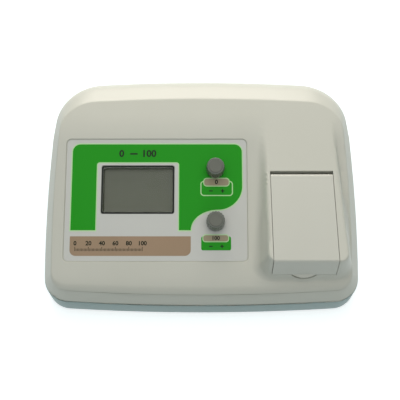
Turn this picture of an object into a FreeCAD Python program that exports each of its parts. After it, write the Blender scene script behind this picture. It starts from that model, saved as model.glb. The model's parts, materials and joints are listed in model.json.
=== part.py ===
# Benchtop colorimeter: a low case with a sloping panel, an LCD, two knobs and a lidded sample chamber.
# Origin at the bench under the middle of the case. X to the right, Y to the rear, Z up, in millimetres.

import FreeCAD, Part
import math
import os

os.makedirs("parts", exist_ok=True)

V = FreeCAD.Vector

# Clearances and cuts
overrun = 5.0
running_gap = 0.05
press_gap = 0.02
part_gap = 0.3
tolerance = 0.01

# Case shell
case_width = 270.6
case_depth = 204.0
case_height = 73.0
wall = 2.5
panel_slope = 12.66
plateau_depth = 29.9
skirt_drop = 18.0
skirt_angle = 65.0
front_skirt_run = 6.9
parting_slope = 12.2
rear_bevel_run = 27.9
rear_shoulder_run = 7.0
rear_shoulder_drop = 9.0
front_corner_radius = 21.0
rear_corner_radius = 42.0
rear_crease_radius = 31.0
side_bow_radius = 1200.0
side_widest = 57.0
front_bow_radius = 1850.0
rear_bow_radius = 1430.0
crease_round = 1.6
boss_round = 1.2
tray_edge_round = 1.5

# Feet, case screws and their posts
foot_height = 4.0
foot_radius = 8.0
foot_bore_radius = 3.6
foot_inset_x = 30.0
foot_inset_y = 27.0
screw_head_radius = 3.0
screw_head_height = 2.4
screw_radius = 1.5
case_screw_length = 20.0
tray_post_radius = 4.5
tray_post_height = 12.0
cover_post_radius = 4.2

# Panel recess and printed film: margins to the case side, the boss, the front crease and the fold
recess_side_margin = 18.8
recess_boss_margin = 15.5
recess_front_margin = 26.24
recess_fold_margin = 10.2
recess_depth = 1.0
recess_radius = 4.0
film_thickness = 0.4
film_gap = 0.2

# Display, from the window down: margins to the recess and the knobs' column
window_side_margin = 30.4
window_knob_margin = 35.05
window_top_margin = 23.1
window_height = 42.7
window_radius = 2.0
window_thickness = 1.9
window_ledge = 2.8
window_rib_depth = 2.0
lcd_margin = 1.6
lcd_glass_thickness = 2.8
lcd_frame_wall = 1.5
lcd_frame_lip = 1.0
strip_width = 2.4
board_thickness = 1.6
display_board_depth = 11.0
display_board_margin = 11.5
display_screw_length = 4.7

# Control knobs and potentiometers
knob_side_margin = 27.0
knob_top_margin = 27.0
knob_pitch = 46.0
knob_radius = 8.0
knob_height = 12.5
knob_lift = 0.6
knob_flutes = 18
knob_flute_radius = 0.7
knob_cap_radius = 5.9
knob_cap_thickness = 1.2
knob_cap_proud = 0.5
shaft_radius = 3.0
shaft_grip = 8.0
bushing_radius = 4.4
bushing_proud = 0.2
pot_radius = 7.0
pot_height = 7.2

# Chamber boss and lid, placed from the right side and the front edge of the case
boss_side_margin_rear = 20.3
boss_side_margin_front = 15.3
boss_width = 60.5
boss_front_margin = 23.5
boss_corner_radius = 8.0
boss_root = 5.04
boss_draft = 14.0
boss_lean = 12.5
lid_margin = 4.1
lid_width = 52.8
lid_front_margin = 5.5
lid_rear_margin = 8.1
lid_gap = 0.4
lid_slot = 1.6
lid_thickness = 2.5
lid_skirt_drop = 20.5
lid_rib_depth = 3.5
lid_barrel_radius = 4.0
lid_edge_round = 2.0
hinge_pin_radius = 1.5
hinge_pin_bite = 1.8
scoop_width = 22.0
scoop_depth = 3.0
scoop_drop = 6.5
shelf_thickness = 2.4
seal_thickness = 3.0
seal_margin = 3.0

# Sample chamber
chamber_floor_depth = 9.0
tray_plate = 2.0
tray_flange = 2.0
well_width = 13.0
well_length = 48.0
well_depth = 40.0
block_wall = 6.5
block_end_wall = 9.0
block_bottom = 12.0
block_screw_length = 9.0
spring_thickness = 0.4
spring_width = 8.0
spring_bow = 1.0
beam_rise = 15.0
aperture_radius = 3.0
aperture_wall = 2.0
optic_radius = 6.5
filter_thickness = 2.0
lens_rim = 1.5
lens_bulge = 1.0
lamp_flange_radius = 10.0
lamp_flange_thickness = 3.0
lamp_body_radius = 7.5
lamp_body_length = 9.0
led_radius = 2.5
led_length = 9.0
led_leg = 0.8
detector_radius = 4.6
detector_board_width = 24.0
detector_board_height = 12.0
detector_screw_length = 6.0

# Main board and transformer
main_board_side_margin = 25.3
main_board_block_margin = 22.0
main_board_end_margin = 40.0
board_rise = 6.0
board_screw_inset = 6.0
board_screw_length = 5.5
chip_count = 4
chip_length = 20.0
chip_width = 7.6
chip_height = 3.6
chip_pitch = 26.0
chip_row_inset = 32.0
capacitor_count = 3
capacitor_radius = 5.0
capacitor_height = 16.0
capacitor_pitch = 14.0
core_length = 44.0
core_width = 34.0
core_height = 30.0
core_limb = 9.0
winding_overhang = 4.5
transformer_inset = 40.0

# Rear panel and what it carries
rear_panel_half_width = 75.0
rear_panel_thickness = 2.0
rear_panel_setback = 7.5
rear_panel_margin = 3.0
rear_frame_lip = 3.0
rear_frame_side = 5.0
rear_screw_length = 5.0
inlet_x = 45.0
inlet_width = 27.0
inlet_height = 20.0
inlet_flange = 2.0
inlet_flange_thickness = 2.6
inlet_depth = 17.0
inlet_wall = 1.5
pin_width = 4.0
pin_thickness = 2.0
pin_spread = 7.0
pin_rise = 2.0
pin_set_in = 5.0
pin_tail = 7.0
fuse_x = 8.0
fuse_radius = 6.0
fuse_flange_radius = 8.0
fuse_flange_thickness = 1.8
fuse_length = 28.0
fuse_cap_radius = 5.4
fuse_cap_proud = 2.0
fuse_slot_width = 1.4
switch_x = 40.0
switch_width = 14.0
switch_height = 20.0
switch_flange = 1.6
switch_flange_thickness = 1.8
switch_depth = 15.0
switch_wall = 1.3
rocker_pivot_depth = 2.5
rocker_radius = 7.6
rocker_tilt = 12.0
rocker_pin_radius = 1.2

# Worked out from the sizes above
half_width = case_width / 2
half_depth = case_depth / 2
slope = math.radians(panel_slope)
skirt_slope = math.radians(skirt_angle)
skirt_run = skirt_drop / math.tan(skirt_slope)
shoulder_run = (skirt_drop - rear_shoulder_drop) / math.tan(skirt_slope)
split_height = case_height - skirt_drop
shoulder_height = case_height - rear_shoulder_drop
front_lean = front_skirt_run / skirt_run
front_crease_y = front_skirt_run - half_depth
rear_crease_y = half_depth - rear_bevel_run
fold_y = rear_crease_y - plateau_depth
front_crease_z = case_height - (fold_y - front_crease_y) * math.tan(slope)
floor_top = foot_height + wall
slope_length = (fold_y - front_crease_y) / math.cos(slope)
boss_right_rear = half_width - boss_side_margin_rear
boss_right_front = half_width - boss_side_margin_front
boss_left = boss_right_rear - boss_width
boss_front = half_depth - boss_front_margin
boss_rear = fold_y + plateau_depth / 4
boss_depth = case_height - front_crease_z + boss_root
lid_left = boss_left + lid_margin
lid_right = lid_left + lid_width
well_y = boss_front - lid_front_margin - block_end_wall - well_length / 2
lid_rear = well_y - well_length / 2 - block_end_wall - lid_rear_margin
recess_left = half_width - recess_side_margin
recess_right = boss_left - recess_boss_margin
recess_bottom = recess_front_margin
recess_top = slope_length - recess_fold_margin
knob_x = recess_right - knob_side_margin
zero_knob_place = recess_top - knob_top_margin
span_knob_place = zero_knob_place - knob_pitch
window_left = recess_left - window_side_margin
window_right = window_knob_margin - knob_x
window_top = recess_top - window_top_margin
window_bottom = window_top - window_height
rear_panel_y = half_depth - rear_panel_setback
rear_panel_bottom = floor_top + rear_panel_margin
rear_panel_top = split_height - rear_panel_margin
rear_panel_z = (rear_panel_bottom + rear_panel_top) / 2


def box(x0, x1, y0, y1, z0, z1):
    """Block between two corners."""
    return Part.makeBox(x1 - x0, y1 - y0, z1 - z0, V(x0, y0, z0))


def rod(radius, length, base, way):
    """Cylinder from a point along a direction."""
    return Part.makeCylinder(radius, length, base, way)


def joined(shapes):
    """One solid made of shapes that meet."""
    whole = shapes[0].multiFuse(shapes[1:])
    return whole.removeSplitter()


def less(shape, cuts):
    """Shape with each cut taken out."""
    for cut in cuts:
        shape = shape.cut(cut)
    return shape


def group(shapes):
    """Several like solids kept apart in one node."""
    return Part.makeCompound(shapes)


def prism(points, along):
    """Polygon carried along a vector."""
    return Part.Face(Part.makePolygon(points + [points[0]])).extrude(along)


def rounded_plate(x0, x1, y0, y1, z0, z1, radius):
    """Plate with rounded upright corners."""
    plate = box(x0, x1, y0, y1, z0, z1)
    uprights = [e for e in plate.Edges if abs(e.tangentAt(e.FirstParameter).z) > math.sqrt(0.5)]
    return plate.makeFillet(radius, uprights)


def on_panel(shape):
    """Shape drawn flat, laid on the panel: its Y runs up the slope from the front crease."""
    laid = shape.copy()
    laid.rotate(V(0, 0, 0), V(1, 0, 0), panel_slope)
    laid.translate(V(0, front_crease_y, front_crease_z))
    return laid


def save(name, shape):
    """One STEP file for each named piece."""
    shape.exportStep("parts/" + name + ".step")


def outline(half, front, rear, front_radius, rear_radius, inset, z):
    """Closed wire of eight tangent arcs: bowed front, rear and sides with a round corner between."""
    side = V(half - side_bow_radius, side_widest - half_depth, z)
    corners = []
    for end, bow, radius, way in ((front, front_bow_radius, front_radius, -1),
                                  (rear, rear_bow_radius, rear_radius, 1)):
        middle = V(0, end - way * bow, z)
        span = (middle - side).Length
        along = (middle - side).normalize()
        across = V(-along.y, along.x, 0) * way
        side_reach = side_bow_radius - radius
        foot = (side_reach ** 2 - (bow - radius) ** 2 + span ** 2) / (2 * span)
        centre = side + along * foot + across * math.sqrt(side_reach ** 2 - foot ** 2)
        to_side = (centre - side).normalize()
        to_end = (centre - middle).normalize()
        corners.append((side + to_side * (side_bow_radius - inset),
                        centre + (to_side + to_end).normalize() * (radius - inset),
                        middle + to_end * (bow - inset)))
    (front_side, front_mid, front_end), (rear_side, rear_mid, rear_end) = corners
    side_mid = side + ((front_side - side) + (rear_side - side)).normalize() * (side_bow_radius - inset)
    right = [(front_end, front_mid, front_side), (front_side, side_mid, rear_side),
             (rear_side, rear_mid, rear_end)]

    def flip(point):
        return V(-point.x, point.y, point.z)

    left = [(flip(c), flip(b), flip(a)) for a, b, c in reversed(right)]
    front_arc = (flip(front_end), V(0, front + inset, z), front_end)
    rear_arc = (rear_end, V(0, rear - inset, z), flip(rear_end))
    arcs = [front_arc] + right + [rear_arc] + left
    return Part.Wire([Part.Arc(*arc).toShape() for arc in arcs])


def edge_outline(inset, z):
    """Plan of the case at the lower edge of its skirt."""
    return outline(half_width, -half_depth, half_depth, front_corner_radius, rear_corner_radius, inset, z)


def skirt_outline(share, inset, drop):
    """Plan between the shoulder, at share 0, and the crease round the panel, at share 1."""
    run = shoulder_run + (skirt_run - shoulder_run) * share
    rear = half_depth - rear_shoulder_run - (rear_bevel_run - rear_shoulder_run) * share
    shoulder_radius = (rear_corner_radius + rear_crease_radius) / 2
    rear_radius = shoulder_radius + (rear_crease_radius - shoulder_radius) * share
    z = shoulder_height + rear_shoulder_drop * share - drop
    front = run * front_lean - half_depth
    return outline(half_width - run, front, rear, front_corner_radius - run, rear_radius, inset, z)


def case_volume(inset, top_inset, top_drop, low, soft):
    """Volume of the upper case: level behind the fold, sheared down to the panel's slope before it."""
    sections = [edge_outline(inset, split_height), skirt_outline(0, inset, 0)]
    if low < split_height:
        sections.insert(0, edge_outline(inset, low))
    if soft > 0:
        sections.append(skirt_outline(1 - soft * math.sin(skirt_slope) / rear_shoulder_drop, inset, 0))
    sections.append(skirt_outline(1, top_inset + soft, top_drop))
    shear = FreeCAD.Matrix()
    shear.A32 = math.tan(slope)
    shear.A34 = -fold_y * math.tan(slope)
    level = Part.makeLoft(sections, True, True)
    sloped = Part.makeLoft([Part.Wire(s.transformGeometry(shear).Edges) for s in sections], True, True)
    reach = case_width
    behind = box(-reach, reach, fold_y, reach, -reach, reach)
    before = box(-reach, reach, -reach, fold_y, -reach, reach)
    return joined([level.common(behind), sloped.common(before)])


def inner_volume():
    """Hollow of the closed case, one wall inside its outer faces and open towards the floor."""
    return case_volume(wall / math.sin(skirt_slope), wall * math.tan(skirt_slope / 2), wall, foot_height, 0)


def boss_volume(inset, drop):
    """Raised chamber block: its sides are drafted and its front leans out towards the bench."""
    spread = boss_depth * math.tan(math.radians(boss_draft))
    lean = boss_depth * math.tan(math.radians(boss_lean))
    top = case_height - drop
    wires = []
    for z, out, forward in ((case_height - boss_depth, spread, lean), (top, 0, 0)):
        left = boss_left - out + inset
        front = -boss_front - forward + inset
        right_rear = boss_right_rear + out - inset
        right_front = boss_right_front + out - inset
        radius = boss_corner_radius
        turn = radius * (1 - math.sqrt(0.5))
        rear_left = V(left, boss_rear, z)
        rear_right = V(right_rear, boss_rear, z)
        left_start = V(left, front + radius, z)
        left_end = V(left + radius, front, z)
        right_start = V(right_front - radius, front, z)
        right_end = V(right_front, front + radius, z)
        wires.append(Part.Wire([
            Part.makeLine(rear_right, rear_left),
            Part.makeLine(rear_left, left_start),
            Part.Arc(left_start, V(left + turn, front + turn, z), left_end).toShape(),
            Part.makeLine(left_end, right_start),
            Part.Arc(right_start, V(right_front - turn, front + turn, z), right_end).toShape(),
            Part.makeLine(right_end, rear_right)]))
    return Part.makeLoft(wires, True, True)


def with_soft_top(volume):
    """Boss with the edges of its level top rounded off, but for the hidden one at the rear."""
    rim = [e for e in volume.Edges if e.BoundBox.ZMin > case_height - tolerance
           and e.BoundBox.YMin < boss_rear - tolerance]
    return volume.makeFillet(boss_round, rim)


def below_split():
    """Everything under the parting line between the two shells, which falls to the front with the panel."""
    reach = case_width
    front_split = split_height - (fold_y + reach) * math.tan(math.radians(parting_slope))
    points = [V(-reach, -reach, front_split), V(-reach, fold_y, split_height),
              V(-reach, reach, split_height), V(-reach, reach, 0), V(-reach, -reach, 0)]
    return prism(points, V(2 * reach, 0, 0))


def lid_front(height):
    """How far forward the leaning front of the lid and boss stands at a height."""
    return -boss_front - (case_height - height) * math.tan(math.radians(boss_lean))


def foot_places():
    """The four corners where foot, case screw and posts share one upright line."""
    return [(side * (half_width - foot_inset_x), end * (half_depth - foot_inset_y))
            for side in (-1, 1) for end in (-1, 1)]


def screw(head_radius, head_height, shank, length, base, way):
    """Round-headed screw with its head's underside at a point and its shank along a direction."""
    back = V(way) * -1
    return joined([rod(head_radius, head_height, base, back), rod(shank, length, base, way)])


def window_hole(low, high, grow):
    """Rounded block through the panel at the display window."""
    return rounded_plate(-window_left - grow, -window_right + grow, window_bottom - grow,
                         window_top + grow, low, high, window_radius + grow)


def main_board_places():
    """The four screws of the main board."""
    xs = (-main_board_left + board_screw_inset, main_board_right - board_screw_inset)
    ys = (-main_board_front + board_screw_inset, main_board_rear - board_screw_inset)
    return [(x, y) for x in xs for y in ys]


def rear_screw_places():
    """The two screws of the rear panel, in its frame."""
    inset = rear_frame_side / 2
    return (-rear_panel_half_width + inset, rear_panel_half_width - inset)


# The chamber, from the lid's hinge inwards
hinge_y = -lid_rear - lid_barrel_radius
hinge_z = case_height - lid_barrel_radius
opening_left = lid_left - lid_gap
opening_right = lid_right + lid_gap
opening_rear = lid_slot - lid_rear
skirt_bottom = case_height - lid_skirt_drop
chamber_floor = case_height - chamber_floor_depth
step_top = chamber_floor + tray_plate
step_front = lid_front(step_top) + wall + lid_gap
step_back = step_front + wall
flange_top = chamber_floor - tray_plate
flange_bottom = flange_top - tray_flange
well_x = (lid_left + lid_right) / 2
well_front = -well_y - well_length / 2
well_rear = -well_y + well_length / 2
well_left = well_x - well_width / 2
well_right = well_x + well_width / 2
block_front = well_front - block_end_wall
block_rear = well_rear + block_end_wall
block_left = well_left - block_wall
block_right = well_right + block_wall
well_bottom = flange_bottom - well_depth + tray_plate + tray_flange
beam_z = well_bottom + beam_rise
beam = V(0, 1, 0)

# The main board beside the optical block
main_board_left = half_width - main_board_side_margin
main_board_right = block_left - main_board_block_margin
main_board_front = half_depth - main_board_end_margin
main_board_rear = half_depth - main_board_end_margin
transformer_x = main_board_left - transformer_inset
transformer_y = main_board_rear - core_width / 2
detector_screw_places = [well_x + side * (detector_board_width / 2 - screw_head_radius) for side in (-1, 1)]

# The display stack, measured down from the panel's surface
window_floor = -recess_depth - window_thickness
rib_low = window_floor - window_rib_depth
board_top = -display_board_depth
board_bottom = board_top - board_thickness
board_left = window_left + display_board_margin
board_right = knob_x + knob_radius + shaft_radius
board_front = span_knob_place - pot_radius - display_board_margin
board_rear = zero_knob_place + pot_radius + part_gap + 2 * (wall + screw_radius)
knob_places = (zero_knob_place, span_knob_place)
display_screw_inset = wall + screw_radius
display_screw_places = [(x, y) for x in (-board_left + display_screw_inset, board_right - display_screw_inset)
                        for y in (board_front + display_screw_inset, board_rear - display_screw_inset)]


def top_cover():
    """Upper shell with the chamber boss, its opening and pocket, the panel recess, and inner posts."""
    shell = case_volume(0, 0, 0, split_height, crease_round).cut(below_split())
    outer = shell.fuse(with_soft_top(boss_volume(0, 0)))
    inner = inner_volume()
    boss_inner = boss_volume(wall, wall)
    cover = less(outer, [inner, boss_inner])
    walls = box(opening_left - wall, opening_right + wall, step_front, opening_rear + wall,
                flange_top, case_height + overrun)
    shelf_low = skirt_bottom - lid_gap - shelf_thickness
    pocket = box(opening_left - wall, opening_right + wall, -half_depth, step_back,
                 shelf_low, case_height + overrun)
    scoop_radius = ((scoop_width / 2) ** 2 + scoop_drop ** 2) / (2 * scoop_drop)
    scoop_back = lid_front(skirt_bottom - scoop_drop / 2) + scoop_depth
    scoop_base = V(well_x, -half_depth, skirt_bottom - scoop_drop + scoop_radius)
    scoop_cup = rod(scoop_radius + wall, scoop_back + wall + half_depth, scoop_base, beam)
    under_lid = box(opening_left, opening_right, -half_depth, 0, 0, skirt_bottom - lid_gap)
    added = [walls.common(outer), pocket.common(outer), scoop_cup.common(outer).common(under_lid)]
    for x, y in foot_places():
        post_low = foot_height + tray_post_height
        post = rod(cover_post_radius, case_height, V(x, y, post_low), V(0, 0, 1))
        if x > opening_left - wall and y < fold_y:
            under_shelf = box(0, half_width, -half_depth, half_depth, foot_height, shelf_low + wall / 2)
            added.append(post.common(inner.fuse(boss_inner)).common(under_shelf))
        else:
            added.append(post.common(inner))
    added.append(on_panel(window_hole(rib_low, -wall / 2, wall)))
    for x, y in display_screw_places:
        boss = rod(screw_radius + wall, display_board_depth - wall / 2, V(x, y, board_top), V(0, 0, 1))
        added.append(on_panel(boss))
    cover = joined([cover] + added)
    cuts = [box(opening_left, opening_right, -half_depth, opening_rear, step_top, case_height + overrun),
            box(opening_left, opening_right, -half_depth, step_front, skirt_bottom - lid_gap,
                case_height + overrun),
            box(opening_left, opening_right, step_back, opening_rear, flange_top - overrun,
                case_height + overrun),
            rod(scoop_radius, scoop_back + half_depth, scoop_base, beam).common(under_lid),
            rod(hinge_pin_radius + press_gap,
                opening_right - opening_left + 2 * hinge_pin_bite + 2 * part_gap,
                V(opening_left - hinge_pin_bite - part_gap, hinge_y, hinge_z), V(1, 0, 0))]
    cuts.append(on_panel(rounded_plate(-recess_left, recess_right, recess_bottom, recess_top,
                                       -recess_depth, overrun, recess_radius)))
    cuts.append(on_panel(window_hole(window_floor, overrun, press_gap)))
    cuts.append(on_panel(window_hole(rib_low - overrun, overrun, -window_ledge / 2)))
    for place in knob_places:
        cuts.append(on_panel(rod(bushing_radius + part_gap, 2 * wall + overrun,
                                 V(knob_x, place, -2 * wall), V(0, 0, 1))))
    for x, y in foot_places():
        cuts.append(rod(screw_radius + press_gap, case_screw_length + wall, V(x, y, foot_height),
                        V(0, 0, 1)))
    for x, y in display_screw_places:
        hole = rod(screw_radius + press_gap, display_screw_length + wall / 2, V(x, y, board_bottom),
                   V(0, 0, 1))
        cuts.append(on_panel(hole))
    return less(cover, cuts)


def base_tray():
    """Lower shell: floor, walls up to the parting line, posts, and the frame of the rear panel."""
    plan = edge_outline(0, foot_height)
    block = Part.Face(plan).extrude(V(0, 0, case_height))
    rim = [e for e in block.Edges if abs(e.BoundBox.ZMax - foot_height) < tolerance]
    block = block.makeFillet(tray_edge_round, rim)
    outer = case_volume(0, 0, 0, foot_height, 0).common(below_split())
    above_floor = box(-half_width, half_width, -half_depth, half_depth, floor_top, case_height)
    tray = block.common(outer).cut(inner_volume().common(above_floor))
    posts = [rod(tray_post_radius, tray_post_height, V(x, y, foot_height), V(0, 0, 1))
             for x, y in foot_places()]
    posts += [rod(screw_radius + wall, floor_top + board_rise - foot_height, V(x, y, foot_height), V(0, 0, 1))
              for x, y in main_board_places()]
    for x in (block_left + wall, block_right - wall):
        for y in (block_front + wall, block_rear - wall):
            posts.append(rod(wall, block_bottom - foot_height, V(x, y, foot_height), V(0, 0, 1)))
    frame = box(-rear_panel_half_width, rear_panel_half_width, rear_panel_y, half_depth,
                rear_panel_bottom, rear_panel_top).common(block)
    mouth = box(-rear_panel_half_width + rear_frame_side, rear_panel_half_width - rear_frame_side,
                rear_panel_y - overrun, half_depth + overrun,
                rear_panel_bottom + rear_frame_lip, rear_panel_top - rear_frame_lip)
    tray = joined([tray, frame] + posts)
    cuts = [mouth]
    for x, y in foot_places():
        cuts.append(rod(screw_radius + part_gap, tray_post_height + overrun, V(x, y, foot_height - wall),
                        V(0, 0, 1)))
    for x, y in main_board_places():
        cuts.append(rod(screw_radius + press_gap, board_rise, V(x, y, floor_top), V(0, 0, 1)))
    for x in rear_screw_places():
        cuts.append(rod(screw_radius + press_gap, rear_screw_length,
                        V(x, rear_panel_y - rear_panel_thickness, rear_panel_z), beam))
    return less(tray, cuts)


def case_pieces():
    """Both shells, the four rubber feet and the four long screws through them."""
    save("top_cover", top_cover())
    save("base_tray", base_tray())
    feet = []
    screws = []
    for x, y in foot_places():
        foot = rod(foot_radius, foot_height, V(x, y, 0), V(0, 0, 1))
        feet.append(foot.cut(rod(foot_bore_radius, foot_height, V(x, y, 0), V(0, 0, 1))))
        screws.append(screw(screw_head_radius, screw_head_height, screw_radius, case_screw_length,
                            V(x, y, foot_height), V(0, 0, 1)))
    save("case_feet", group(feet))
    save("case_screws", group(screws))


def panel_pieces():
    """Printed film, display window, and the display cell clamped by its frame on its board."""
    low = -recess_depth
    film = rounded_plate(-recess_left + film_gap, recess_right - film_gap, recess_bottom + film_gap,
                         recess_top - film_gap, low, low + film_thickness, recess_radius - film_gap)
    film = film.cut(window_hole(low - overrun, overrun, press_gap))
    for place in knob_places:
        film = film.cut(rod(bushing_radius + part_gap, overrun, V(knob_x, place, low - wall), V(0, 0, 1)))
    save("panel_overlay", on_panel(film))
    save("display_window", on_panel(window_hole(window_floor, window_floor + window_thickness, 0)))

    glass_top = rib_low - part_gap - lcd_frame_lip
    glass_low = glass_top - lcd_glass_thickness
    left = -window_left - lcd_margin
    right = -window_right + lcd_margin
    front = window_bottom - lcd_margin
    rear = window_top + lcd_margin
    save("lcd_glass", on_panel(box(left, right, front, rear, glass_low, glass_top)))
    room = lcd_frame_wall + press_gap
    frame = less(box(left - room, right + room, front - room, rear + room, board_top, rib_low - part_gap),
                 [box(left - press_gap, right + press_gap, front - press_gap, rear + press_gap,
                      board_top - overrun, glass_top),
                  box(left + lcd_margin, right - lcd_margin, front + lcd_margin, rear - lcd_margin,
                      board_top, overrun)])
    save("lcd_frame", on_panel(frame))
    strips = [box(left + lcd_margin, right - lcd_margin, y, y + strip_width, board_top, glass_low)
              for y in (front + lcd_margin, rear - lcd_margin - strip_width)]
    save("lcd_contact_strips", on_panel(group(strips)))
    board = box(-board_left, board_right, board_front, board_rear, board_bottom, board_top)
    screws = []
    for x, y in display_screw_places:
        board = board.cut(rod(screw_radius + part_gap, board_thickness, V(x, y, board_bottom), V(0, 0, 1)))
        screws.append(screw(screw_head_radius, screw_head_height, screw_radius, display_screw_length,
                            V(x, y, board_bottom), V(0, 0, 1)))
    save("display_board", on_panel(board))
    save("display_screws", on_panel(group(screws)))


def control_pieces(name, place):
    """One control: potentiometer on the board, its shaft, and a fluted knob with a let-in cap."""
    up = V(0, 0, 1)
    base = V(knob_x, place, board_top)
    pot = joined([rod(pot_radius, pot_height, base, up),
                  rod(bushing_radius, bushing_proud - board_top, base, up)])
    shaft_low = board_top + wall
    pot = pot.cut(rod(shaft_radius + running_gap, case_height, V(knob_x, place, shaft_low - part_gap), up))
    save(name + "_pot", on_panel(pot))
    knob_top = knob_lift + knob_height
    shaft_top = knob_lift + shaft_grip
    save(name + "_shaft", on_panel(rod(shaft_radius, shaft_top - shaft_low, V(knob_x, place, shaft_low), up)))
    knob = rod(knob_radius, knob_height, V(knob_x, place, knob_lift), up)
    knob = knob.makeChamfer(knob_flute_radius, [knob.Edges[0]])
    flutes = []
    for turn in range(knob_flutes):
        angle = 2 * math.pi * turn / knob_flutes
        spot = V(knob_x + knob_radius * math.cos(angle), place + knob_radius * math.sin(angle),
                 knob_lift - overrun)
        flutes.append(rod(knob_flute_radius, knob_height + 2 * overrun, spot, up))
    cap_low = knob_top + knob_cap_proud - knob_cap_thickness
    knob = less(knob, flutes + [
        rod(shaft_radius + press_gap, shaft_grip + part_gap, V(knob_x, place, knob_lift), up),
        rod(knob_cap_radius + press_gap, knob_cap_thickness, V(knob_x, place, cap_low), up)])
    save(name + "_knob", on_panel(knob))
    cap = rod(knob_cap_radius, knob_cap_thickness, V(knob_x, place, cap_low), up)
    save(name + "_knob_cap", on_panel(cap))


def lid_pieces():
    """Chamber lid with its barrel, the steel pin through it, and the foam seal under it."""
    top = case_height
    width = lid_right - lid_left
    inside_top = top - lid_thickness
    profile = [V(lid_left, hinge_y, top), V(lid_left, -boss_front, top),
               V(lid_left, lid_front(skirt_bottom), skirt_bottom),
               V(lid_left, lid_front(skirt_bottom) + wall, skirt_bottom),
               V(lid_left, lid_front(inside_top) + wall, inside_top),
               V(lid_left, hinge_y, inside_top)]
    plate = prism(profile, V(width, 0, 0))
    edges = [e for e in plate.Edges if e.BoundBox.ZMin > top - tolerance
             and e.BoundBox.YMax < tolerance - boss_front]
    plate = plate.makeFillet(lid_edge_round, edges)
    barrel = rod(lid_barrel_radius, width, V(lid_left, hinge_y, hinge_z), V(1, 0, 0))
    rib_low = inside_top - lid_rib_depth
    ribs = [box(x, x + wall, step_back + lid_gap, hinge_y, rib_low, inside_top)
            for x in (lid_left, lid_right - wall)]
    lid = joined([plate, barrel] + ribs)
    bore_radius = hinge_pin_radius + running_gap
    lid = lid.cut(rod(bore_radius, width + 2 * overrun, V(lid_left - overrun, hinge_y, hinge_z), V(1, 0, 0)))
    save("chamber_lid", lid)
    pin_left = opening_left - hinge_pin_bite
    pin_length = opening_right - opening_left + 2 * hinge_pin_bite
    save("lid_hinge_pin", rod(hinge_pin_radius, pin_length, V(pin_left, hinge_y, hinge_z), V(1, 0, 0)))
    seal_low = chamber_floor + part_gap
    rear = min(well_rear + seal_margin + seal_thickness, hinge_y - lid_barrel_radius - part_gap)
    front = well_front - seal_margin - seal_thickness
    left = well_left - seal_margin - seal_thickness
    right = well_right + seal_margin + seal_thickness
    ring = box(left, right, front, rear, seal_low, inside_top)
    hole = box(left + seal_thickness, right - seal_thickness, front + seal_thickness, rear - seal_thickness,
               seal_low, inside_top)
    save("lid_seal", ring.cut(hole))


def chamber_pieces():
    """Black chamber tray, optical block with its cell well, and the leaf spring in the well."""
    well = box(well_left, well_right, well_front, well_rear, well_bottom, case_height)
    plug = box(opening_left + press_gap, opening_right - press_gap, step_back + press_gap,
               opening_rear - press_gap, flange_bottom, chamber_floor)
    flange = box(opening_left - wall, opening_right + wall, step_back + press_gap, opening_rear + wall,
                 flange_bottom, flange_top)
    tray = joined([plug, flange])
    screws = []
    head_seat = chamber_floor - screw_head_height
    holes = []
    for y in (well_front - block_end_wall / 2, well_rear + block_end_wall / 2):
        holes.append(rod(screw_head_radius + press_gap, screw_head_height + overrun, V(well_x, y, head_seat),
                         V(0, 0, 1)))
        holes.append(rod(screw_radius + part_gap, case_height, V(well_x, y, flange_bottom - overrun),
                         V(0, 0, 1)))
        screws.append(screw(screw_head_radius, screw_head_height, screw_radius, block_screw_length,
                            V(well_x, y, head_seat), V(0, 0, -1)))
    save("chamber_tray", less(tray, holes + [well]))
    save("block_screws", group(screws))

    block = box(block_left, block_right, block_front, block_rear, block_bottom, flange_bottom)
    cuts = [well]
    for y in (well_front - block_end_wall / 2, well_rear + block_end_wall / 2):
        cuts.append(rod(screw_radius + press_gap, block_screw_length, V(well_x, y, flange_bottom),
                        V(0, 0, -1)))
    cuts.append(rod(aperture_radius, well_length + 2 * aperture_wall,
                    V(well_x, well_front - aperture_wall, beam_z), beam))
    optic_depth = block_end_wall - aperture_wall
    cuts.append(rod(optic_radius, optic_depth + overrun, V(well_x, well_rear + aperture_wall, beam_z), beam))
    cuts.append(rod(detector_radius + press_gap, optic_depth + overrun,
                    V(well_x, well_front - aperture_wall, beam_z), beam * -1))
    for x in detector_screw_places:
        cuts.append(rod(screw_radius + press_gap, detector_screw_length, V(x, block_front, beam_z), beam))
    spring_front = -well_y - spring_width / 2
    slot = box(well_left - spring_bow, well_left, spring_front - part_gap,
               spring_front + spring_width + part_gap, well_bottom, flange_bottom)
    cuts.append(slot)
    save("optical_block", less(block, cuts))
    save("cell_spring", cell_spring(spring_front))


def cell_spring(front):
    """Bowed leaf of spring steel in a slot of the well's left wall."""
    low = V(well_left - spring_bow, front, well_bottom)
    high = V(well_left - spring_bow, front, flange_bottom)
    crest = V(well_left + spring_bow - spring_thickness, front, (well_bottom + flange_bottom) / 2)
    step = V(spring_thickness, 0, 0)
    outside = Part.Arc(low + step, crest + step, high + step).toShape()
    inside = Part.Arc(high, crest, low).toShape()
    wire = Part.Wire([outside, Part.makeLine(high + step, high), inside, Part.makeLine(low, low + step)])
    return Part.Face(wire).extrude(V(0, spring_width, 0))


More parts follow.
